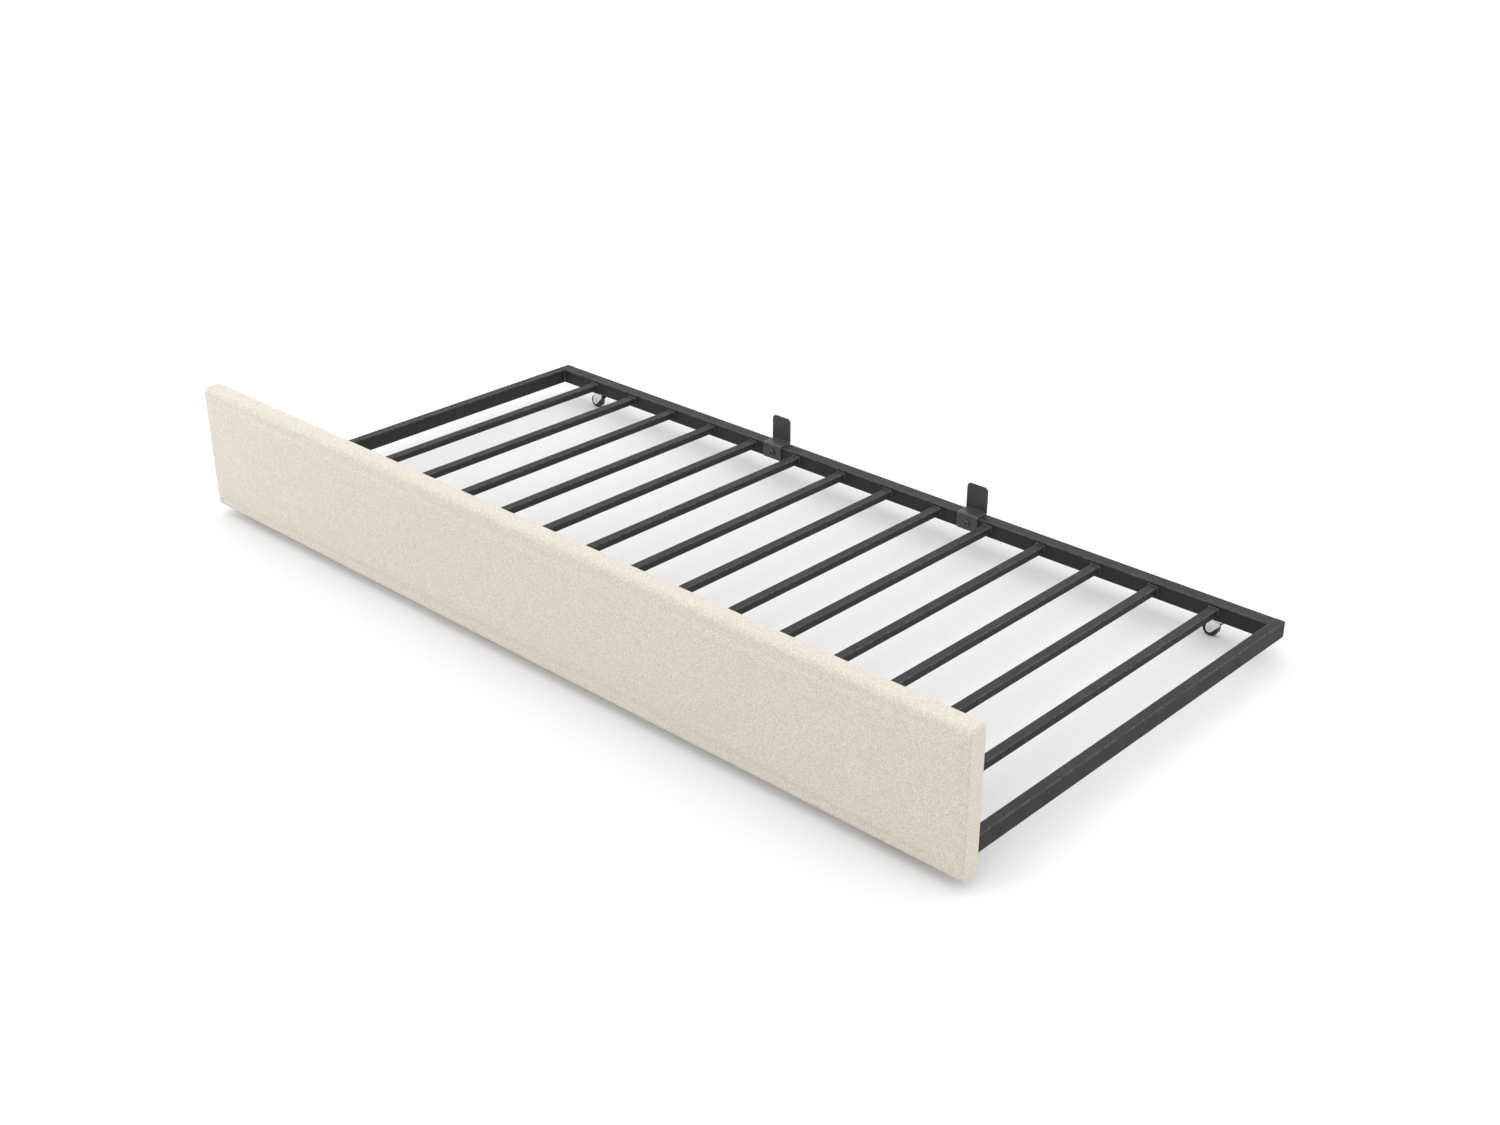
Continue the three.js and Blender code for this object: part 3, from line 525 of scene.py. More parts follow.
def filleted(points, radius, steps=4, hold=0.0, closed=True):
    """An outline of 2D points with each corner rounded, and held flat just past each rounding."""
    corners = [Vector(p) for p in points]
    outline = []
    for i, corner in enumerate(corners):
        if not closed and i in (0, len(corners) - 1):
            outline.append(corner)
            continue
        before = corners[i - 1] - corner
        after = corners[(i + 1) % len(corners)] - corner
        half = before.angle(after) / 2
        reach = min(radius / math.tan(half), 0.48 * before.length, 0.48 * after.length)
        arc = reach * math.tan(half)
        into, out = before.normalized(), after.normalized()
        centre = corner + (into + out).normalized() * (arc / math.sin(half))
        first, last = corner + into * reach - centre, corner + out * reach - centre
        turn = first.angle(last)
        if hold and reach + hold < 0.5 * before.length:
            outline.append(corner + into * (reach + hold))
        for k in range(steps + 1):
            share = k / steps
            bent = first * math.sin((1 - share) * turn) + last * math.sin(share * turn)
            outline.append(centre + bent / math.sin(turn))
        if hold and reach + hold < 0.5 * after.length:
            outline.append(corner + out * (reach + hold))
    return outline


def rectangle(half_across, half_up, radius, steps=5, hold=0.0):
    signs = ((-1, -1), (1, -1), (1, 1), (-1, 1))
    corners = [(across * half_across, up * half_up) for across, up in signs]
    return filleted(corners, max(radius, LEAST_RADIUS), steps, hold)


PLACING = {
    "x": lambda along, p: (along, p[0], p[1]),
    "y": lambda along, p: (p[0], along, p[1]),
    "z": lambda along, p: (p[0], p[1], along),
}
EDGE = 0.35 * MM  # the small rounding left on every cut or moulded edge


def bar(low, high, axis, corner, wall=None, hold=1.2 * MM):
    """A rounded bar or, with a wall, an open tube that fills the box between two corners."""
    along = "xyz".index(axis)
    u, v = [i for i in range(3) if i != along]
    centre = (low + high) / 2
    half_u, half_v = (high[u] - low[u]) / 2, (high[v] - low[v]) / 2

    def ring(place, inset):
        outline = rectangle(half_u - inset, half_v - inset, corner - inset, hold=hold)
        return [PLACING[axis](place, (centre[u] + p[0], centre[v] + p[1])) for p in outline]

    start, end = low[along], high[along]
    shares = (0.0, 0.35, 1.0)
    steps = [(EDGE * share, EDGE * (1 - math.sqrt(1 - (1 - share) ** 2))) for share in shares]
    steps.append((3 * EDGE, 0.0))
    rings = [ring(start + depth, inset) for depth, inset in steps]
    rings += [ring(end - depth, inset) for depth, inset in reversed(steps)]
    if wall is None:
        return skinned(rings)
    inside = (end, end - 3 * EDGE, start + 3 * EDGE, start)
    return skinned(rings + [ring(place, wall) for place in inside], wrap=True)


def turned(profile, centre, axis, steps=64, wrap=False):
    """(radius, place) points turned about an axis through a centre. A radius may be a function."""
    rings = []
    for radius, place in profile:
        ring = []
        for i in range(steps):
            angle = 2 * math.pi * i / steps
            reach = radius(angle) if callable(radius) else radius
            across = (reach * math.cos(angle), reach * math.sin(angle))
            ring.append(Vector(PLACING[axis](place, across)) + centre)
        rings.append(ring)
    return skinned(rings, wrap)


def rope(points, flat_normal, radius_at, sides=8):
    """A round or rippled rod along a line of points that lies in one plane."""
    angles = [2 * math.pi * k / sides for k in range(sides)]
    rings = []
    travelled = 0.0
    for i, point in enumerate(points):
        ahead = points[min(i + 1, len(points) - 1)] - points[max(i - 1, 0)]
        across = ahead.normalized().cross(flat_normal)
        if i:
            travelled += (point - points[i - 1]).length
        radius = radius_at(travelled)
        spokes = [math.cos(a) * flat_normal + math.sin(a) * across for a in angles]
        rings.append([point + radius * spoke for spoke in spokes])
    return skinned(rings)


def spaced(points, step):
    """The same line with its points evenly spaced."""
    lengths = [0.0]
    for a, b in zip(points, points[1:]):
        lengths.append(lengths[-1] + (b - a).length)
    count = max(2, round(lengths[-1] / step))
    line = []
    k = 0
    for i in range(count + 1):
        target = lengths[-1] * i / count
        while k < len(points) - 2 and lengths[k + 1] < target:
            k += 1
        share = (target - lengths[k]) / max(lengths[k + 1] - lengths[k], 1e-12)
        line.append(points[k].lerp(points[k + 1], min(share, 1.0)))
    return line


def strip_ring(place, normal, low, high, half_sheet, edge, columns, press):
    """One cross-section of a bent sheet: rounded edges, and columns that a pressing may push in."""
    arc = [(edge * math.sin(a), edge * math.cos(a)) for a in map(math.radians, (22.5, 45.0, 67.5))]
    left, right, inner = low + edge, high - edge, half_sheet - edge
    across = [left + (right - left) * i / columns for i in range(columns + 1)]
    outline = [(x, half_sheet) for x in across]
    outline += [(right + x, inner + up) for x, up in arc]
    outline += [(right + x, -inner - up) for x, up in reversed(arc)]
    outline += [(x, -half_sheet) for x in reversed(across)]
    outline += [(left - x, -inner - up) for x, up in arc]
    outline += [(left - x, inner + up) for x, up in reversed(arc)]
    return [place + X * x + normal * (up - (press(x, place) if press else 0.0)) for x, up in outline]


def bent_sheet(line, limits, half_sheet, columns, press=None):
    """A sheet bent along a line in the YZ plane. limits gives its lowest and highest X at a place."""
    edge = min(EDGE, 0.45 * half_sheet)
    last = len(line) - 1
    rings = []
    for i, place in enumerate(line):
        ahead = (line[min(i + 1, last)] - line[max(i - 1, 0)]).normalized()
        thin = half_sheet - (edge if i in (0, last) else 0.0)
        rim = min(edge, 0.9 * thin)
        rings.append(strip_ring(place, ahead.cross(X), *limits(place), thin, rim, columns, press))
    return skinned(rings)


def rounding(radius, depth):
    """How far a rounded edge has drawn in at a depth below its end."""
    return radius - math.sqrt(max(radius**2 - max(radius - depth, 0.0) ** 2, 0.0))


def rim_of(across, up):
    """The (column, row) places round a grid, from its first corner along the first row."""
    last, top = across - 1, up - 1
    rim = [(i, 0) for i in range(last)] + [(last, j) for j in range(top)]
    return rim + [(i, top) for i in range(last, 0, -1)] + [(0, j) for j in range(top, 0, -1)]


# ---- Steel frame ----
RAIL_WALL = 1.5 * MM
SLAT_WALL = 1.2 * MM
TUBE_CORNER = 2.0 * MM
PACKER_CORNER = 1.2 * MM
SLATS = sorted(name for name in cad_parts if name.startswith("slat_"))


def add_tube(node_name, axis, wall):
    low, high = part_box(node_name)
    shape = bar(low, high, axis, TUBE_CORNER, wall=wall)
    stand_in(node_name, "_tube", shape, COAT, BED, "frame_black")


def add_frame_tubes():
    add_tube("front_rail", "x", RAIL_WALL)
    add_tube("rear_rail", "x", RAIL_WALL)
    for side in SIDES:
        add_tube(f"side_rail_{side}", "y", RAIL_WALL)
    for name in SLATS:
        add_tube(name, "y", SLAT_WALL)


def add_packers():
    for side in SIDES:
        name = f"caster_packer_{side}"
        low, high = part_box(name)
        shape = bar(low, high, "y", PACKER_CORNER)
        stand_in(name, "_block", shape, COAT, BED, "frame_black")


def weld_radius(radius, seed):
    """A bead's radius along its length: stacked ripples of uneven height."""
    ripple, lumps_per_metre = 1.7 * MM, 260.0

    def radius_at(travelled):
        wave = 0.5 + 0.5 * math.cos(2 * math.pi * travelled / ripple)
        uneven = noise.noise(Vector((travelled * lumps_per_metre, seed * 7.3, 0.0)))
        return radius * (0.86 + 0.16 * wave + 0.14 * uneven)

    return radius_at


def direction_across(normal):
    return next(v for v in (X, Y, Z) if abs(v.dot(normal)) < 0.5)


def weld_start(shape, place, plane_normal, radius):
    """The small round blob where a bead was struck."""
    line = [place + plane_normal * radius * (k / 6 - 1) for k in range(13)]

    def radius_at(travelled):
        return radius * math.sqrt(max(1 - (travelled / radius - 1) ** 2, 0.02))

    shape.add(*rope(line, direction_across(plane_normal), radius_at, 10))


def weld_bead(shape, corners, plane_normal, radius, seed):
    """Adds one bead that follows corner points lying in a plane."""
    bend, step = 1.6 * MM, 0.42 * MM
    origin = corners[0]
    along = direction_across(plane_normal)
    up = plane_normal.cross(along)
    flat = [Vector(((p - origin).dot(along), (p - origin).dot(up))) for p in corners]
    curved = filleted(flat, bend, 5, closed=False)
    line = spaced([origin + along * p[0] + up * p[1] for p in curved], step)
    shape.add(*rope(line, plane_normal, weld_radius(radius, seed)))


def add_slat_welds():
    """A bead up both sides of each slat and over its top, at each rail."""
    bead, blob, side_gap, top_gap, foot_gap = 1.25 * MM, 2.1 * MM, 0.2 * MM, 0.1 * MM, 2.5 * MM
    for row in ROWS:
        shape = Shape()
        for seed, name in enumerate(SLATS):
            low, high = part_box(name)
            y = low.y if row == "front" else high.y
            left, right = low.x - side_gap, high.x + side_gap
            bottom, top = low.z + foot_gap, high.z + top_gap
            places = [(left, bottom), (left, top), (right, top), (right, bottom)]
            corners = [Vector((x, y, z)) for x, z in places]
            weld_bead(shape, corners, Y, bead, seed + 40 * (row == "rear"))
            weld_start(shape, Vector((left + 0.6 * MM, y, top + 0.3 * MM)), Y, blob)
        # These beads take the lighter coat, a painted highlight.
        fit(shape.piece(f"slat_welds_{row}", WELD_HIGHLIGHT_COAT, WELD_CREASE), BED, "frame_black")


def add_corner_welds():
    """Beads down the inside of each frame corner and across its top and underside."""
    upright_bead, across_bead, sunk = 1.7 * MM, 1.3 * MM, 0.9 * MM
    upright_gap, across_gap = 2 * MM, 2.5 * MM
    shape = Shape()
    for row in ROWS:
        low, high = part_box(f"{row}_rail")
        inner = high.y if row == "front" else low.y
        for seed, x in enumerate((low.x, high.x)):
            seed += 3 * (row == "rear")
            upright = [Vector((x, inner, z)) for z in (low.z + upright_gap, high.z - upright_gap)]
            weld_bead(shape, upright, X, upright_bead, 90 + seed)
            for z in (low.z, high.z - sunk):
                across = [Vector((x, y, z)) for y in (low.y + across_gap, high.y - across_gap)]
                weld_bead(shape, across, Z, across_bead, 100 + seed)
    fit(shape.piece("corner_welds", COAT, WELD_CREASE), BED, "frame_black")


def add_side_rail_caps():
    """A moulded plug in the rear end of each side rail, with a shallow recess in its face."""
    flange_depth, plug_inset, recess, recess_inset = 2 * MM, 1.9 * MM, 0.6 * MM, 4 * MM
    for side in SIDES:
        name = f"side_rail_cap_{side}"
        low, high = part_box(name)
        shoulder = high.y - flange_depth
        centre = (low + high) / 2
        half_x, half_z = (high.x - low.x) / 2, (high.z - low.z) / 2

        def ring(y, inset):
            corner = max(TUBE_CORNER - inset, 0.5 * MM)
            outline = rectangle(half_x - inset, half_z - inset, corner)
            return [Vector((centre.x + p[0], y, centre.z + p[1])) for p in outline]

        stations = (
            (low.y, plug_inset + 0.4 * MM),
            (low.y + 0.6 * MM, plug_inset),
            (shoulder, plug_inset),
            (shoulder, 0.2 * MM),
            (shoulder + 0.2 * MM, 0.0),
            (high.y - 0.8 * MM, 0.0),
            (high.y - 0.25 * MM, 0.25 * MM),
            (high.y, 0.9 * MM),
            (high.y, recess_inset),
            (high.y - 0.2 * MM, recess_inset + 0.2 * MM),
            (high.y - recess, recess_inset + 0.4 * MM),
        )
        shape = skinned([ring(*station) for station in stations])
        stand_in(name, "_plug", shape, PLUG, BED, "plug_black")


# ---- Stop tabs and bolts ----
TAB_SHEET = 3 * MM
TAB_CORNER = 9 * MM
TAB_FOOT_CORNER = 3 * MM
TAB_BEND = 1.2 * MM  # inside radius
TAB_GAP = 0.3 * MM  # over the rail


def tab_line(low, high, rail_top):
    """The middle of the bent strip from its foot, over the rail and up to its top."""
    half = TAB_SHEET / 2
    step = rail_top + TAB_GAP + half
    foot, back = low.y + half, high.y - half
    corners = [(foot, low.z), (foot, step), (back, step), (back, high.z)]
    bends = filleted(corners, TAB_BEND + half, 8, closed=False)
    return [Vector((0.0, p[0], p[1])) for p in bends]


def finer_ends(line, corner, foot_corner):
    """The same line with close points through the rounded corners at both ends."""
    start, end = line[0], line[-1]
    first, last = (line[1] - start).normalized(), (line[-2] - end).normalized()
    step = 2 * MM
    shares = [1 - math.cos(math.radians(a)) for a in range(0, 91, 9)]
    lower = [start + first * (foot_corner * share + EDGE * (share > 0)) for share in shares]
    upper = [end + last * (corner * share + EDGE * (share > 0)) for share in reversed(shares)]
    middle = spaced([lower[-1], line[1]], step)[1:] + line[2:-2] + spaced([line[-2], upper[0]], step)
    return lower + middle[:-1] + upper


def add_stop_tabs():
    rail_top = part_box("rear_rail")[1].z
    for side in SIDES:
        name = f"stop_tab_{side}"
        low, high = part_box(name)
        line = finer_ends(tab_line(low, high, rail_top), TAB_CORNER, TAB_FOOT_CORNER)

        def limits(place):
            inset = rounding(TAB_CORNER, high.z - place.z)
            inset += rounding(TAB_FOOT_CORNER, place.z - low.z)
            return low.x + inset, high.x - inset

        shape = bent_sheet(line, limits, TAB_SHEET / 2, 12)
        # The tab takes the lighter coat, a painted reflection.
        stand_in(name, "_strip", shape, TAB_LIT_COAT, BED, "frame_black")


def hexagon_reach(flats):
    """How far a hexagon reaches at each angle."""
    side = math.pi / 3
    return lambda angle: flats / 2 / math.cos((angle + side / 2) % side - side / 2)


def button_bolt(name, shank, head_side, socket, head_height):
    """A button-head bolt with a hexagon socket and a rounded thread start, along Y."""
    low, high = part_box(name)
    head = (high.x - low.x) / 2
    face, tip = (high.y, low.y) if head_side > 0 else (low.y, high.y)
    seat = face - head_side * head_height
    centre = Vector(((low.x + high.x) / 2, 0.0, (low.z + high.z) / 2))
    lead, pitch, root = 0.8 * MM, 1.25 * MM, 0.88 * shank
    profile = [(0.3 * shank, tip), (0.82 * shank, tip), (shank, tip + lead * head_side)]
    for k in range(1, int(abs(seat - tip) / pitch) - 1):
        place = tip + head_side * (lead + k * pitch)
        profile += [(shank, place), (root, place + head_side * 0.5 * pitch)]
    profile += [(shank, seat), (0.93 * head, seat), (head, seat + head_side * 0.3 * MM)]
    rim = seat + head_side * 0.9 * MM
    dome = abs(face - rim)
    land = socket / math.sqrt(3) + 0.5 * MM
    for k in range(9):
        angle = math.radians(90 * k / 8)
        across, rise = math.cos(angle), math.sin(angle)
        profile.append((land + (head - land) * across, rim + head_side * dome * rise))
    mouth, hollow = hexagon_reach(socket + 0.35 * MM), hexagon_reach(socket)
    floor = face - head_side * 0.62 * head_height
    profile += [(mouth, face), (hollow, face - head_side * 0.2 * MM), (hollow, floor)]
    profile.append((0.35 * socket, floor - head_side * 0.25 * MM))
    return turned(profile, centre, "y", 72)


def add_bolts():
    bolts = [(f"stop_tab_bolt_{side}", 4 * MM, -1, 5 * MM, 4.2 * MM) for side in SIDES]
    bolts += [(f"panel_bolt_{number}", 3 * MM, 1, 4 * MM, 3.6 * MM) for number in range(1, 5)]
    for name, *sizes in bolts:
        shape = button_bolt(name, *sizes)
        stand_in(name, "_button_head", shape, OXIDE, BED, "bolt_black", BOLT_CREASE)


# ---- Casters ----
FORK_SHEET = 1.6 * MM
FORK_BEND = 1.6 * MM  # inside radius
FORK_SKIRT = 9 * MM  # full-length part under the crown
FORK_CORNER = 4 * MM
PLATE_CORNER = 4 * MM
CASTERS = [f"caster_{row}_{side}" for row in ROWS for side in SIDES]


def add_caster_plate(name):
    low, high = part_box(name + "_plate")
    shape = bar(low, high, "z", PLATE_CORNER, hold=0.8 * MM)
    stand_in(name + "_plate", "_steel", shape, ZINC, BED, "zinc")


def add_caster_plate_welds():
    """A bead across each end of each caster plate."""
    gap, bead, seed = 5 * MM, 1.3 * MM, 200
    shape = Shape()
    for name in CASTERS:
        low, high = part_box(name + "_plate")
        for x in (low.x, high.x):
            seed += 1
            ends = [Vector((x, y, high.z)) for y in (low.y + gap, high.y - gap)]
            weld_bead(shape, ends, Z, bead, seed)
    fit(shape.piece("caster_plate_welds", COAT, WELD_CREASE), BED, "frame_black")


def add_king_rivet(name):
    node_name = name + "_king_rivet"
    low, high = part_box(node_name)
    centre = Vector(((low.x + high.x) / 2, (low.y + high.y) / 2, 0.0))
    head = (high.x - low.x) / 2
    shank, rim, head_height = 3 * MM, 0.5 * MM, 1.1 * MM
    top = low.z + head_height
    bottom, dish = low.z, 0.25 * MM
    profile = [
        (0.2 * MM, bottom + dish),
        (1.6 * MM, bottom + 0.2 * MM),
        (2.0 * MM, bottom),
        (head - 1.1 * MM, bottom),
        (head - 0.4 * MM, bottom + dish),
        (head, top - rim),
        (head, top - 0.1 * MM),
        (head - 0.1 * MM, top),
        (shank, top),
        (shank, high.z - 1.05 * MM),
        (shank + 1.0 * MM, high.z),
        (0.3 * MM, high.z),
    ]
    stand_in(node_name, "_steel", turned(profile, centre, "z", 48), ZINC, BED, "zinc")


def fork_limits(low, high, swivel, axle):
    """The fork's side outline as X limits at a height: full skirt, sloping sides, round foot."""
    half = high.x - swivel.x
    skirt = high.z - FORK_SKIRT
    foot = axle.z - low.z
    front, rear = (swivel.x + half, 1), (swivel.x - half, -1)

    def slope_end(start, turn):
        """Where the straight side from the skirt meets the round foot."""
        across, up = start - axle.x, skirt - axle.z
        angle = math.atan2(across, up) + turn * math.acos(foot / math.hypot(across, up))
        return axle.x + foot * math.sin(angle), axle.z + foot * math.cos(angle)

    def side_at(z, start, turn):
        touch_x, touch_z = slope_end(start, turn)
        if z >= touch_z:
            return start + (touch_x - start) * (skirt - z) / (skirt - touch_z)
        return axle.x + turn * math.sqrt(max(foot**2 - (axle.z - z) ** 2, 0.0))

    def limits(place):
        if place.z < skirt:
            return side_at(place.z, *rear), side_at(place.z, *front)
        inset = rounding(FORK_CORNER, max(high.z - place.z, 0.0))
        return rear[0] + inset, front[0] - inset

    return limits


def fork_pressing(swivel, axle, high):
    """A shallow funnel pressed into each leg, wide under the crown and narrow above the axle."""
    depth = 0.4 * MM
    top, bottom = high.z - 4.5 * MM, axle.z + 5.5 * MM

    def press(x, place):
        share = (place.z - bottom) / (top - bottom)
        if not 0.0 < share < 1.0:
            return 0.0
        middle = axle.x + (swivel.x - axle.x) * share
        half = (1.5 + 7.0 * share) * MM
        across = max(0.0, 1.0 - abs(x - middle) / half)
        fade = min(1.0, 5 * share, 4 * (1 - share))
        return depth * min(1.0, 3 * across) * fade

    return press


def fork_line(low, high, foot):
    """The middle of the fork's sheet from one foot, over the crown to the other foot."""
    half = FORK_SHEET / 2
    left, right, crown = low.y + half, high.y - half, high.z - half
    corners = [(left, low.z), (left, crown), (right, crown), (right, low.z)]
    bends = filleted(corners, FORK_BEND + half, 8, closed=False)
    line = [Vector((0.0, p[0], p[1])) for p in bends]
    rising = [low.z + foot * (1 - math.cos(math.radians(a))) for a in range(6, 91, 7)]
    leg = [Vector((0.0, left, z)) for z in rising]
    leg += spaced([leg[-1], line[1]], 0.8 * MM)[1:]
    other = [Vector((0.0, right, p.z)) for p in reversed(leg)]
    return leg + line[2:-2] + other


def add_fork(name, body, swivel, axle):
    node_name = name + "_fork"
    low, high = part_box(node_name)
    line = fork_line(low, high, axle.z - low.z)
    limits = fork_limits(low, high, swivel, axle)
    shape = bent_sheet(line, limits, FORK_SHEET / 2, 18, fork_pressing(swivel, axle, high))
    stand_in(node_name, "_steel", shape, ZINC, body, "zinc", FORK_CREASE)


def add_axle(name, body, axle):
    """A solid rivet with a domed head at each side, dimpled where it was peened."""
    node_name = name + "_axle"
    low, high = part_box(node_name)
    head, shank, chamfer = (high.x - low.x) / 2, 2.2 * MM, 0.1 * MM
    tip = (high.y - low.y) / 2
    seat, rim = tip - 1.5 * MM, tip - 1.05 * MM
    outer = [(shank, seat), (head - chamfer, seat), (head, seat + 0.12 * MM), (head, rim)]
    reach = math.radians(75)
    for k in range(1, 7):
        angle = reach * k / 6
        outer.append((head * math.cos(angle), rim + (tip - rim) * math.sin(angle) / math.sin(reach)))
    outer += [(0.8 * MM, tip - 0.15 * MM), (0.2 * MM, tip - 0.3 * MM)]
    profile = [(r, -y) for r, y in reversed(outer)] + outer
    centre = Vector((axle.x, (low.y + high.y) / 2, axle.z))
    stand_in(node_name, "_rivet", turned(profile, centre, "y", 40), ZINC, body, "zinc")


def wheel_profile(radius, half):
    """A moulded wheel: crowned tread, a rim, a dished web, a raised ring and a hub."""
    bore, hub, rim, recess = 2.5 * MM, 5.0 * MM, radius - 4 * MM, 2 * MM
    web = half - recess
    outline = [
        (bore, half),
        (hub, half),
        (hub + 0.5 * MM, web),
        (hub + 2.2 * MM, web),
        (hub + 2.5 * MM, web + 0.7 * MM),
        (hub + 3.5 * MM, web + 0.7 * MM),
        (hub + 3.8 * MM, web),
        (rim - 0.4 * MM, web),
        (rim, half),
        (radius - 0.3 * MM, half - 0.1 * MM),
    ]
    side = filleted(outline, 0.4 * MM, 3, closed=False)[:-1]
    shoulder, parting = 2.0 * MM, 0.12 * MM
    for k in range(9):
        angle = math.radians(90 - 90 * k / 8)
        across = radius - shoulder + shoulder * math.cos(angle)
        side.append(Vector((across, half - shoulder + shoulder * math.sin(angle))))
    tread = ((radius, 0.3 * half), (radius, parting), (radius - parting, parting / 2))
    side += [Vector(place) for place in tread]
    return side + [Vector((p[0], -p[1])) for p in reversed(side)]


def add_wheel(name, body, axle):
    node_name = name + "_wheel"
    low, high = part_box(node_name)
    centre = Vector((axle.x, (low.y + high.y) / 2, axle.z))
    profile = wheel_profile((high.z - low.z) / 2, (high.y - low.y) / 2)
    shape = turned(profile, centre, "y", 96, wrap=True)
    stand_in(node_name, "_moulding", shape, TREAD, body, "wheel_black", WHEEL_CREASE)


def middle_of(node_name):
    low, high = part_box(node_name)
    return (low + high) / 2


def add_casters():
    for name in CASTERS:
        fork, wheel = name.replace("caster", "fork"), name.replace("caster", "wheel")
        axle = middle_of(name + "_axle")
        add_caster_plate(name)
        add_king_rivet(name)
        add_fork(name, fork, middle_of(name + "_king_rivet"), axle)
        add_axle(name, fork, axle)
        add_wheel(name, wheel, axle)
    add_caster_plate_welds()


# ---- Upholstered panel ----
FACE_RADIUS = 12 * MM  # along the top and bottom of the padded face
END_RADIUS = 5 * MM  # at its two upright, sewn edges
BACK_RADIUS = 3 * MM
CORNER_RADIUS = 6 * MM  # seen from the front
SWELL = 2.5 * MM  # how far the foam presses the face out
SIDE_SWELL = 1.0 * MM
SEAM_DEPTH = 1.0 * MM
SEAM_REACH = 1.1 * MM


def graded(half, coarse, fine, fine_zone):
    """Places from -half to half: close together near both ends, wider apart between."""
    inner = half - fine_zone
    middle = np.linspace(-inner, inner, max(2, round(2 * inner / coarse)) + 1)
    end = np.linspace(inner, half, max(1, round(fine_zone / fine)) + 1)[1:]
    return np.concatenate([-end[::-1], middle, end])


def panel_stations(low, high):
    """(end inset, top inset, place) from the hem on the back, round the edges, to the face's rim."""
    back, front = high.y, low.y
    back_steps, walls, turns = 4, 6, 12
    stations = [(inset, inset, back) for inset in (16 * MM, 9 * MM, 5 * MM)]
    for k in range(back_steps + 1):
        angle = math.radians(90 * k / back_steps)
        inset = BACK_RADIUS * (1 - math.sin(angle))
        stations.append((inset, inset, back - BACK_RADIUS * (1 - math.cos(angle))))
    wall_start, wall_end = back - BACK_RADIUS, front + FACE_RADIUS
    stations += [(0.0, 0.0, wall_start + (wall_end - wall_start) * k / walls) for k in range(1, walls)]
    for k in range(turns + 1):
        depth = FACE_RADIUS * (1 - math.sin(math.radians(90 * k / turns)))
        stations.append((rounding(END_RADIUS, depth), rounding(FACE_RADIUS, depth), front + depth))
    return stations


def panel_mesh(low, high):
    """The cloth skin as quads: rings round the edges, a grid over the face, strips over the back."""
    centre = (low + high) / 2
    half_x, half_z = (high.x - low.x) / 2, (high.z - low.z) / 2
    fine = 2.5 * MM
    columns = graded(1.0, 11.0 * MM / half_x, fine / half_x, 40 * MM / half_x)
    rows = graded(1.0, 6.0 * MM / half_z, fine / half_z, 20 * MM / half_z)
    across, up = len(columns), len(rows)
    rim = rim_of(across, up)

    def ring(end_inset, top_inset, y):
        wide, tall = half_x - end_inset, half_z - top_inset
        corner = max(CORNER_RADIUS - end_inset, 0.4 * MM)
        reach_x, reach_z = wide - corner, tall - corner
        points = []
        for i, j in rim:
            p = Vector((columns[i] * wide, rows[j] * tall))
            held = Vector((max(-reach_x, min(reach_x, p.x)), max(-reach_z, min(reach_z, p.y))))
            away = p - held
            if min(abs(away.x), abs(away.y)) > 1e-9:
                p = held + away.normalized() * corner
            points.append(Vector((centre.x + p.x, y, centre.z + p.y)))
        return points

    verts, faces = skinned([ring(*station) for station in panel_stations(low, high)])
    faces = faces[:-2]
    last = len(verts) - len(rim)
    wide, tall = half_x - END_RADIUS, half_z - FACE_RADIUS
    grid = {place: last + k for k, place in enumerate(rim)}
    for i in range(1, across - 1):
        for j in range(1, up - 1):
            grid[(i, j)] = len(verts)
            verts.append(Vector((centre.x + columns[i] * wide, low.y, centre.z + rows[j] * tall)))
    for i in range(across - 1):
        for j in range(up - 1):
            faces.append((grid[(i, j)], grid[(i + 1, j)], grid[(i + 1, j + 1)], grid[(i, j + 1)]))
    hem = {place: k for k, place in enumerate(rim)}
    top = up - 1
    for i in range(1, across - 2):
        faces.append((hem[(i, 0)], hem[(i + 1, 0)], hem[(i + 1, top)], hem[(i, top)]))
    for end, beside in ((across - 1, across - 2), (0, 1)):
        side = [hem[(end, j)] for j in range(up)]
        faces.append((hem[(beside, 0)], *side, hem[(beside, top)]))
    return verts, faces


def swell_by_cloth(piece, free, fixed):
    """Blows the skin up a little over the foam as cloth, held still where the board backs it."""
    group = piece.vertex_groups.new(name="held_by_board")
    rest = np.array([v.co for v in piece.data.vertices])
    for index, point in enumerate(rest):
        share = (point[1] - free) / (fixed - free)
        group.add([index], min(1.0, max(0.0, share)), "REPLACE")
    cloth = piece.modifiers.new("cloth", "CLOTH")
    settings = {
        "quality": 5,
        "mass": 0.3,
        "tension_stiffness": 25,
        "compression_stiffness": 25,
        "shear_stiffness": 12,
        "bending_stiffness": 2.0,
        "use_pressure": True,
        "uniform_pressure_force": 4.0,
        "vertex_group_mass": group.name,
        "pin_stiffness": 20.0,
    }
    for label, value in settings.items():
        setattr(cloth.settings, label, value)
    cloth.settings.effector_weights.gravity = 0.0
    cloth.collision_settings.use_collision = False
    last_frame = 20
    cloth.point_cache.frame_start = 1
    cloth.point_cache.frame_end = last_frame
    for number in range(1, last_frame + 1):
        scene.frame_set(number)
    graph = bpy.context.evaluated_depsgraph_get()
    moved = np.array([v.co for v in piece.evaluated_get(graph).data.vertices])
    piece.modifiers.remove(cloth)
    piece.vertex_groups.remove(group)
    scene.frame_set(1)
    return moved - rest


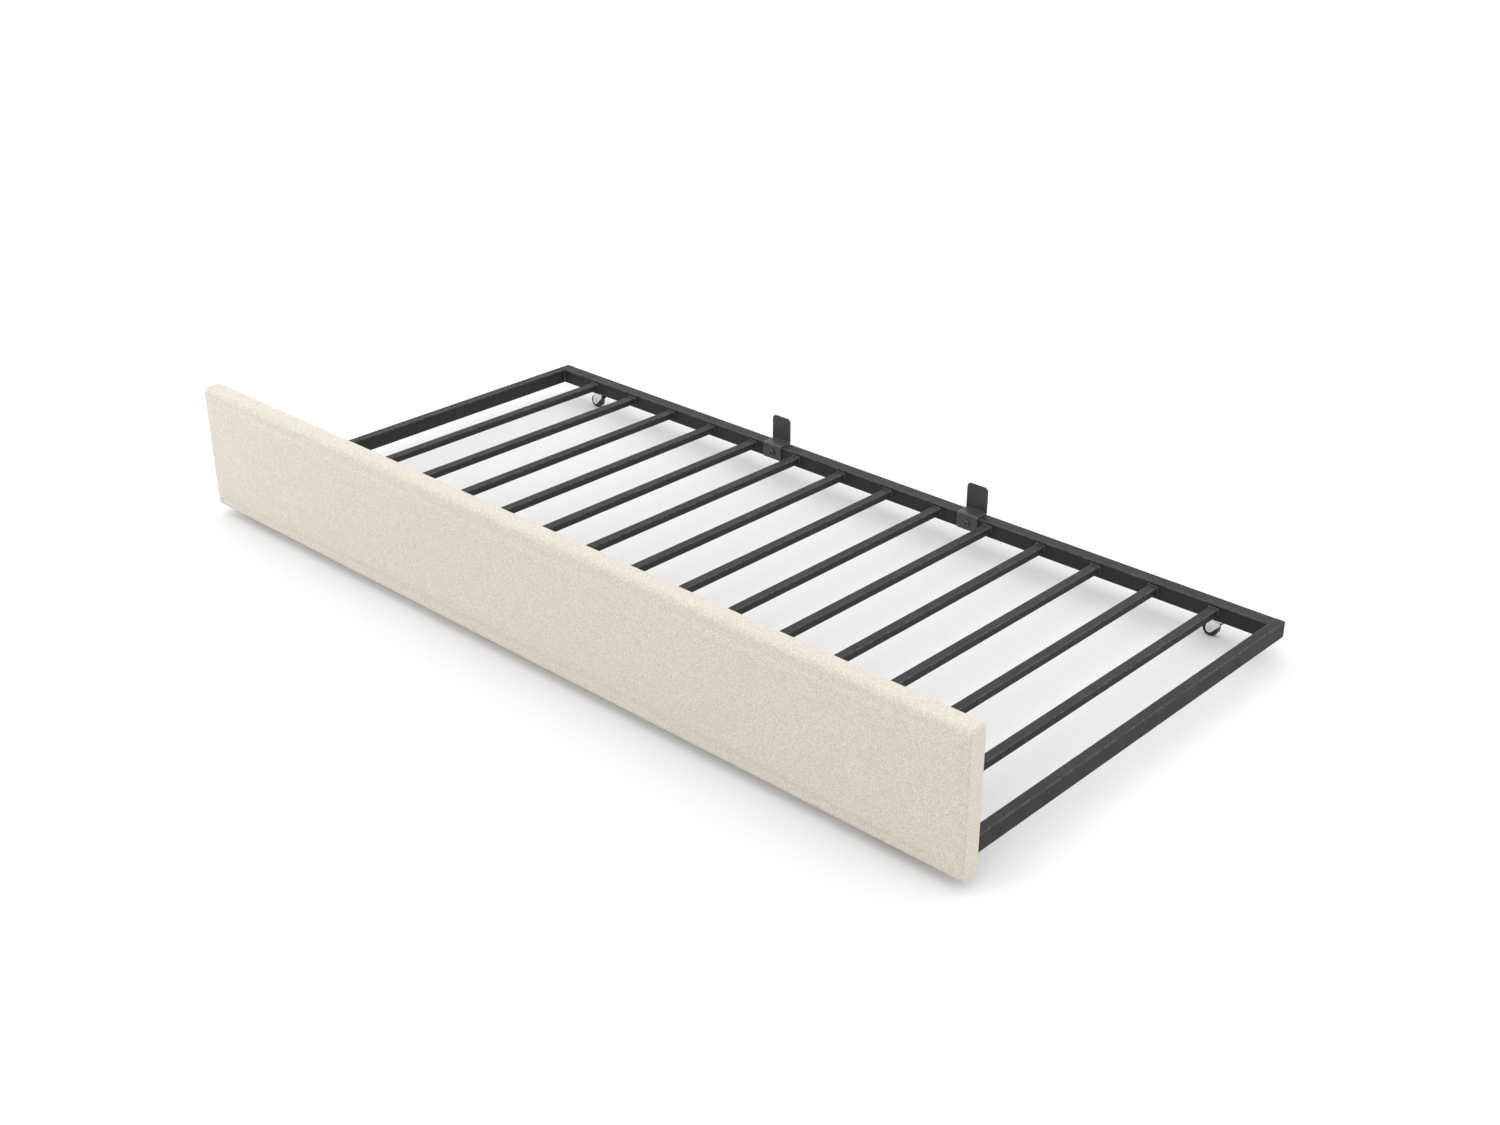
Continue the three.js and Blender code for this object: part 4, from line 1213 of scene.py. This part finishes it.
def swollen(rest, moves, normals):
    """Points pushed straight out of the foam, at most a little way and least at the sides."""
    outward = np.maximum((moves * normals).sum(axis=1), 0.0)
    limit = SIDE_SWELL + (SWELL - SIDE_SWELL) * np.abs(normals[:, 1])
    return rest + normals * (limit * np.tanh(outward / limit))[:, None]


def refine(piece, levels):
    """Subdivides the piece and keeps the result as its mesh."""
    divided = piece.modifiers.new("finer", "SUBSURF")
    divided.levels = divided.render_levels = levels
    graph = bpy.context.evaluated_depsgraph_get()
    finer = bpy.data.meshes.new_from_object(piece.evaluated_get(graph))
    piece.modifiers.remove(divided)
    piece.data = finer


def seam_line(low):
    """Where the upright seams run: their inset from the ends, and their place across the panel."""
    middle = END_RADIUS * (1 - math.cos(math.pi / 4))
    return middle, low.y + middle


def work_the_seams(piece, low, high):
    """Draws the cloth in along the upright seams, puckers it beside them and waves it elsewhere."""
    waves, pucker_depth, pucker_zone = 0.32 * MM, 0.75 * MM, 45 * MM
    mesh = piece.data
    seam_inset, seam_y = seam_line(low)
    normals = [v.normal.copy() for v in mesh.vertices]
    for vertex, normal in zip(mesh.vertices, normals):
        p = vertex.co
        if p.y > high.y - 1.0 * MM:
            continue
        end = min(p.x - low.x, high.x - p.x)
        away = math.hypot(end - seam_inset, p.y - seam_y)
        wave = noise.noise(p * 9.0) + 0.5 * noise.noise(p * 27.0)
        lift = waves * wave
        if end < pucker_zone:
            along = noise.noise(Vector((0.0, 0.0, p.z * 120.0 + 5.0 * (p.x > 0))))
            pucker = math.exp(-away / (7.0 * MM)) * (1 - math.exp(-away / (1.2 * MM)))
            lift += pucker_depth * pucker * along
            lift -= SEAM_DEPTH * math.exp(-((away / SEAM_REACH) ** 2))
        vertex.co = p + normal * lift
    mesh.update()


def add_panel_cover():
    name = "panel_cover"
    low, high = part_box(name)
    board_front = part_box("panel_board")[0].y
    verts, faces = panel_mesh(low, high)
    cover = make_piece(name + "_cloth", verts, faces, CLOTH, ALL_SMOOTH)
    free = board_front - 3 * MM
    start = np.array([v.co for v in cover.data.vertices])
    moves = swell_by_cloth(cover, free, board_front)
    normals = np.array([v.normal for v in cover.data.vertices])
    settled = swollen(start, moves, normals)
    cover.data.vertices.foreach_set("co", settled.astype(np.float32).ravel())
    cover.data.update()
    refine(cover, 1)
    work_the_seams(cover, low, high)
    smooth(cover.data, ALL_SMOOTH)
    fit(cover, BED, "cover_cream", name)
    add_seam_stitches(cover, low, high)


def add_seam_stitches(cover, low, high):
    """A row of short stitches down each upright seam, lying on the cloth."""
    stitch, pitch, thread, margin, above = 3.1 * MM, 4.6 * MM, 0.28 * MM, 9 * MM, 20 * MM
    mesh = cover.data
    faces = [tuple(face.vertices) for face in mesh.polygons]
    tree = BVHTree.FromPolygons([v.co.copy() for v in mesh.vertices], faces)
    shape = Shape()
    inset, seam_y = seam_line(low)
    for sign, edge in ((1, high.x), (-1, low.x)):
        inward = Vector((-sign, 1.0, 0.0)).normalized()
        across = Vector((inward.y, -inward.x, 0.0))
        z = low.z + margin
        while z < high.z - margin:
            line = []
            for share in np.linspace(0.0, 1.0, 7):
                aim = Vector((edge - sign * inset, seam_y, z + stitch * share))
                hit = tree.ray_cast(aim - inward * above, inward)[0] or aim
                sink = thread * (1.6 * (2 * share - 1) ** 4 - 0.35)
                line.append(hit + inward * sink)
            shape.add(*rope(line, across, lambda _: thread, 6))
            z += pitch
    fit(shape.piece("panel_seam_stitches", THREAD, ALL_SMOOTH), BED, "cover_cream")


STAPLE_PITCH = 55 * MM
STAPLE_CROWN = 10.5 * MM
HEM = 9 * MM


def staple_places(low, high):
    """Middles of the staples round the lining, with the direction that each crown lies in."""
    rail_low, rail_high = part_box("front_rail")
    inset, rail_gap = 5 * MM, 8 * MM
    places = []
    across = round((high.x - low.x - 2 * STAPLE_CROWN) / STAPLE_PITCH)
    for x in np.linspace(low.x + STAPLE_CROWN, high.x - STAPLE_CROWN, across + 1):
        places += [((x, low.z + inset * 0.75), X), ((x, high.z - inset), X)]
    up = round((high.z - low.z - 4 * STAPLE_CROWN) / STAPLE_PITCH)
    for z in np.linspace(low.z + 2 * STAPLE_CROWN, high.z - 2 * STAPLE_CROWN, up + 1):
        if not rail_low.z - rail_gap < z < rail_high.z + rail_gap:
            places += [((low.x + inset, z), Z), ((high.x - inset, z), Z)]
    return places


def lining_lift(x, z, from_end, from_top, places):
    """How far the lining stands off the panel: slack, its turned hem, ripples and the staples' pull."""
    edge = min(from_end, from_top)
    lift = 0.16 * MM * noise.noise(Vector((x * 16, 3.0, z * 16)))
    if edge < HEM:
        lift += 0.18 * MM
    if edge < 3 * HEM:
        along = x if from_top < from_end else z
        lift += 0.12 * MM * math.sin(2 * math.pi * along / STAPLE_PITCH) * (1 - edge / (3 * HEM))
    pull = 0.0
    for (staple_x, staple_z), _ in places:
        aside, above = abs(staple_x - x), abs(staple_z - z)
        if max(aside, above) < 12 * MM:
            pull = max(pull, math.exp(-(aside**2 + above**2) / (6 * MM) ** 2))
    return lift - 0.15 * MM * pull


def add_panel_lining():
    """Thin cloth over the panel's back: turned edges, slack between the staples, flat on the rail."""
    name = "panel_lining"
    low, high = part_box(name)
    rail_low, rail_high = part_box("front_rail")
    rail_gap, half_sheet, feather = 4 * MM, 0.25 * MM, 0.5 * MM
    places = staple_places(low, high)
    columns = np.linspace(low.x, high.x, 1 + round((high.x - low.x) / (6 * MM)))
    rows = np.linspace(low.z, high.z, 1 + round((high.z - low.z) / (5 * MM)))
    middle = (low.y + high.y) / 2 - 0.1 * MM
    front, back = [], []
    for x in columns:
        for z in rows:
            from_end, from_top = min(x - low.x, high.x - x), min(z - low.z, high.z - z)
            y = middle
            if not rail_low.z - rail_gap < z < rail_high.z + rail_gap:
                y += lining_lift(x, z, from_end, from_top, places)
            share = min(1.0, min(from_end, from_top) / feather)
            front.append(Vector((x, y - half_sheet * share, z)))
            back.append(Vector((x, y + half_sheet * max(share, 0.2), z)))
    across, up = len(columns), len(rows)
    total = len(front)
    faces = []
    for i in range(across - 1):
        for j in range(up - 1):
            start = i * up + j
            quad = (start, start + up, start + up + 1, start + 1)
            faces += [quad, tuple(total + k for k in reversed(quad))]
    rim = [i * up + j for i, j in rim_of(across, up)]
    faces += [(a, b, total + b, total + a) for a, b in zip(rim, rim[1:] + rim[:1])]
    lining = stand_in(name, "_cloth", (front + back, faces), LINING, BED, "lining", HEM_CREASE)
    add_staples(places, high.y)


def add_staples(places, surface):
    """Crowns of the staples, slightly askew, with their legs going into the board."""
    wire, leg, bend = 0.42 * MM, 2 * MM, 0.9 * MM
    half = STAPLE_CROWN / 2
    flat = filleted([(-half, -leg), (-half, 0.0), (half, 0.0), (half, -leg)], bend, 4, closed=False)
    dice = random.Random(11)
    shape = Shape()
    for (x, z), direction in places:
        lean = math.radians(dice.uniform(-9, 9))
        other = Z if direction == X else X
        along = (direction * math.cos(lean) + other * math.sin(lean)).normalized()
        middle = Vector((x, surface - 0.05 * MM, z))
        line = [middle + along * p[0] + Y * p[1] for p in flat]
        shape.add(*rope(line, along.cross(Y), lambda _: wire, 8))
    fit(shape.piece("panel_staples", ZINC, STAPLE_CREASE), BED, "zinc")


# ---- Hidden pieces that keep their CAD shape ----
def finish_hidden_nodes():
    finishes = {"panel_board": BOARD, "panel_foam": FOAM}
    finishes.update({f"panel_tee_nut_{number}": ZINC for number in range(1, 5)})
    finishes.update({f"stop_tab_nut_{side}": ZINC for side in SIDES})
    for name, material in finishes.items():
        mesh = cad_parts[name].data
        mesh.materials.clear()
        mesh.materials.append(material)


add_studio()
add_floor(pale_floor())
add_frame_tubes()
add_packers()
add_slat_welds()
add_corner_welds()
add_side_rail_caps()
add_stop_tabs()
add_bolts()
add_casters()
add_panel_cover()
add_panel_lining()
finish_hidden_nodes()
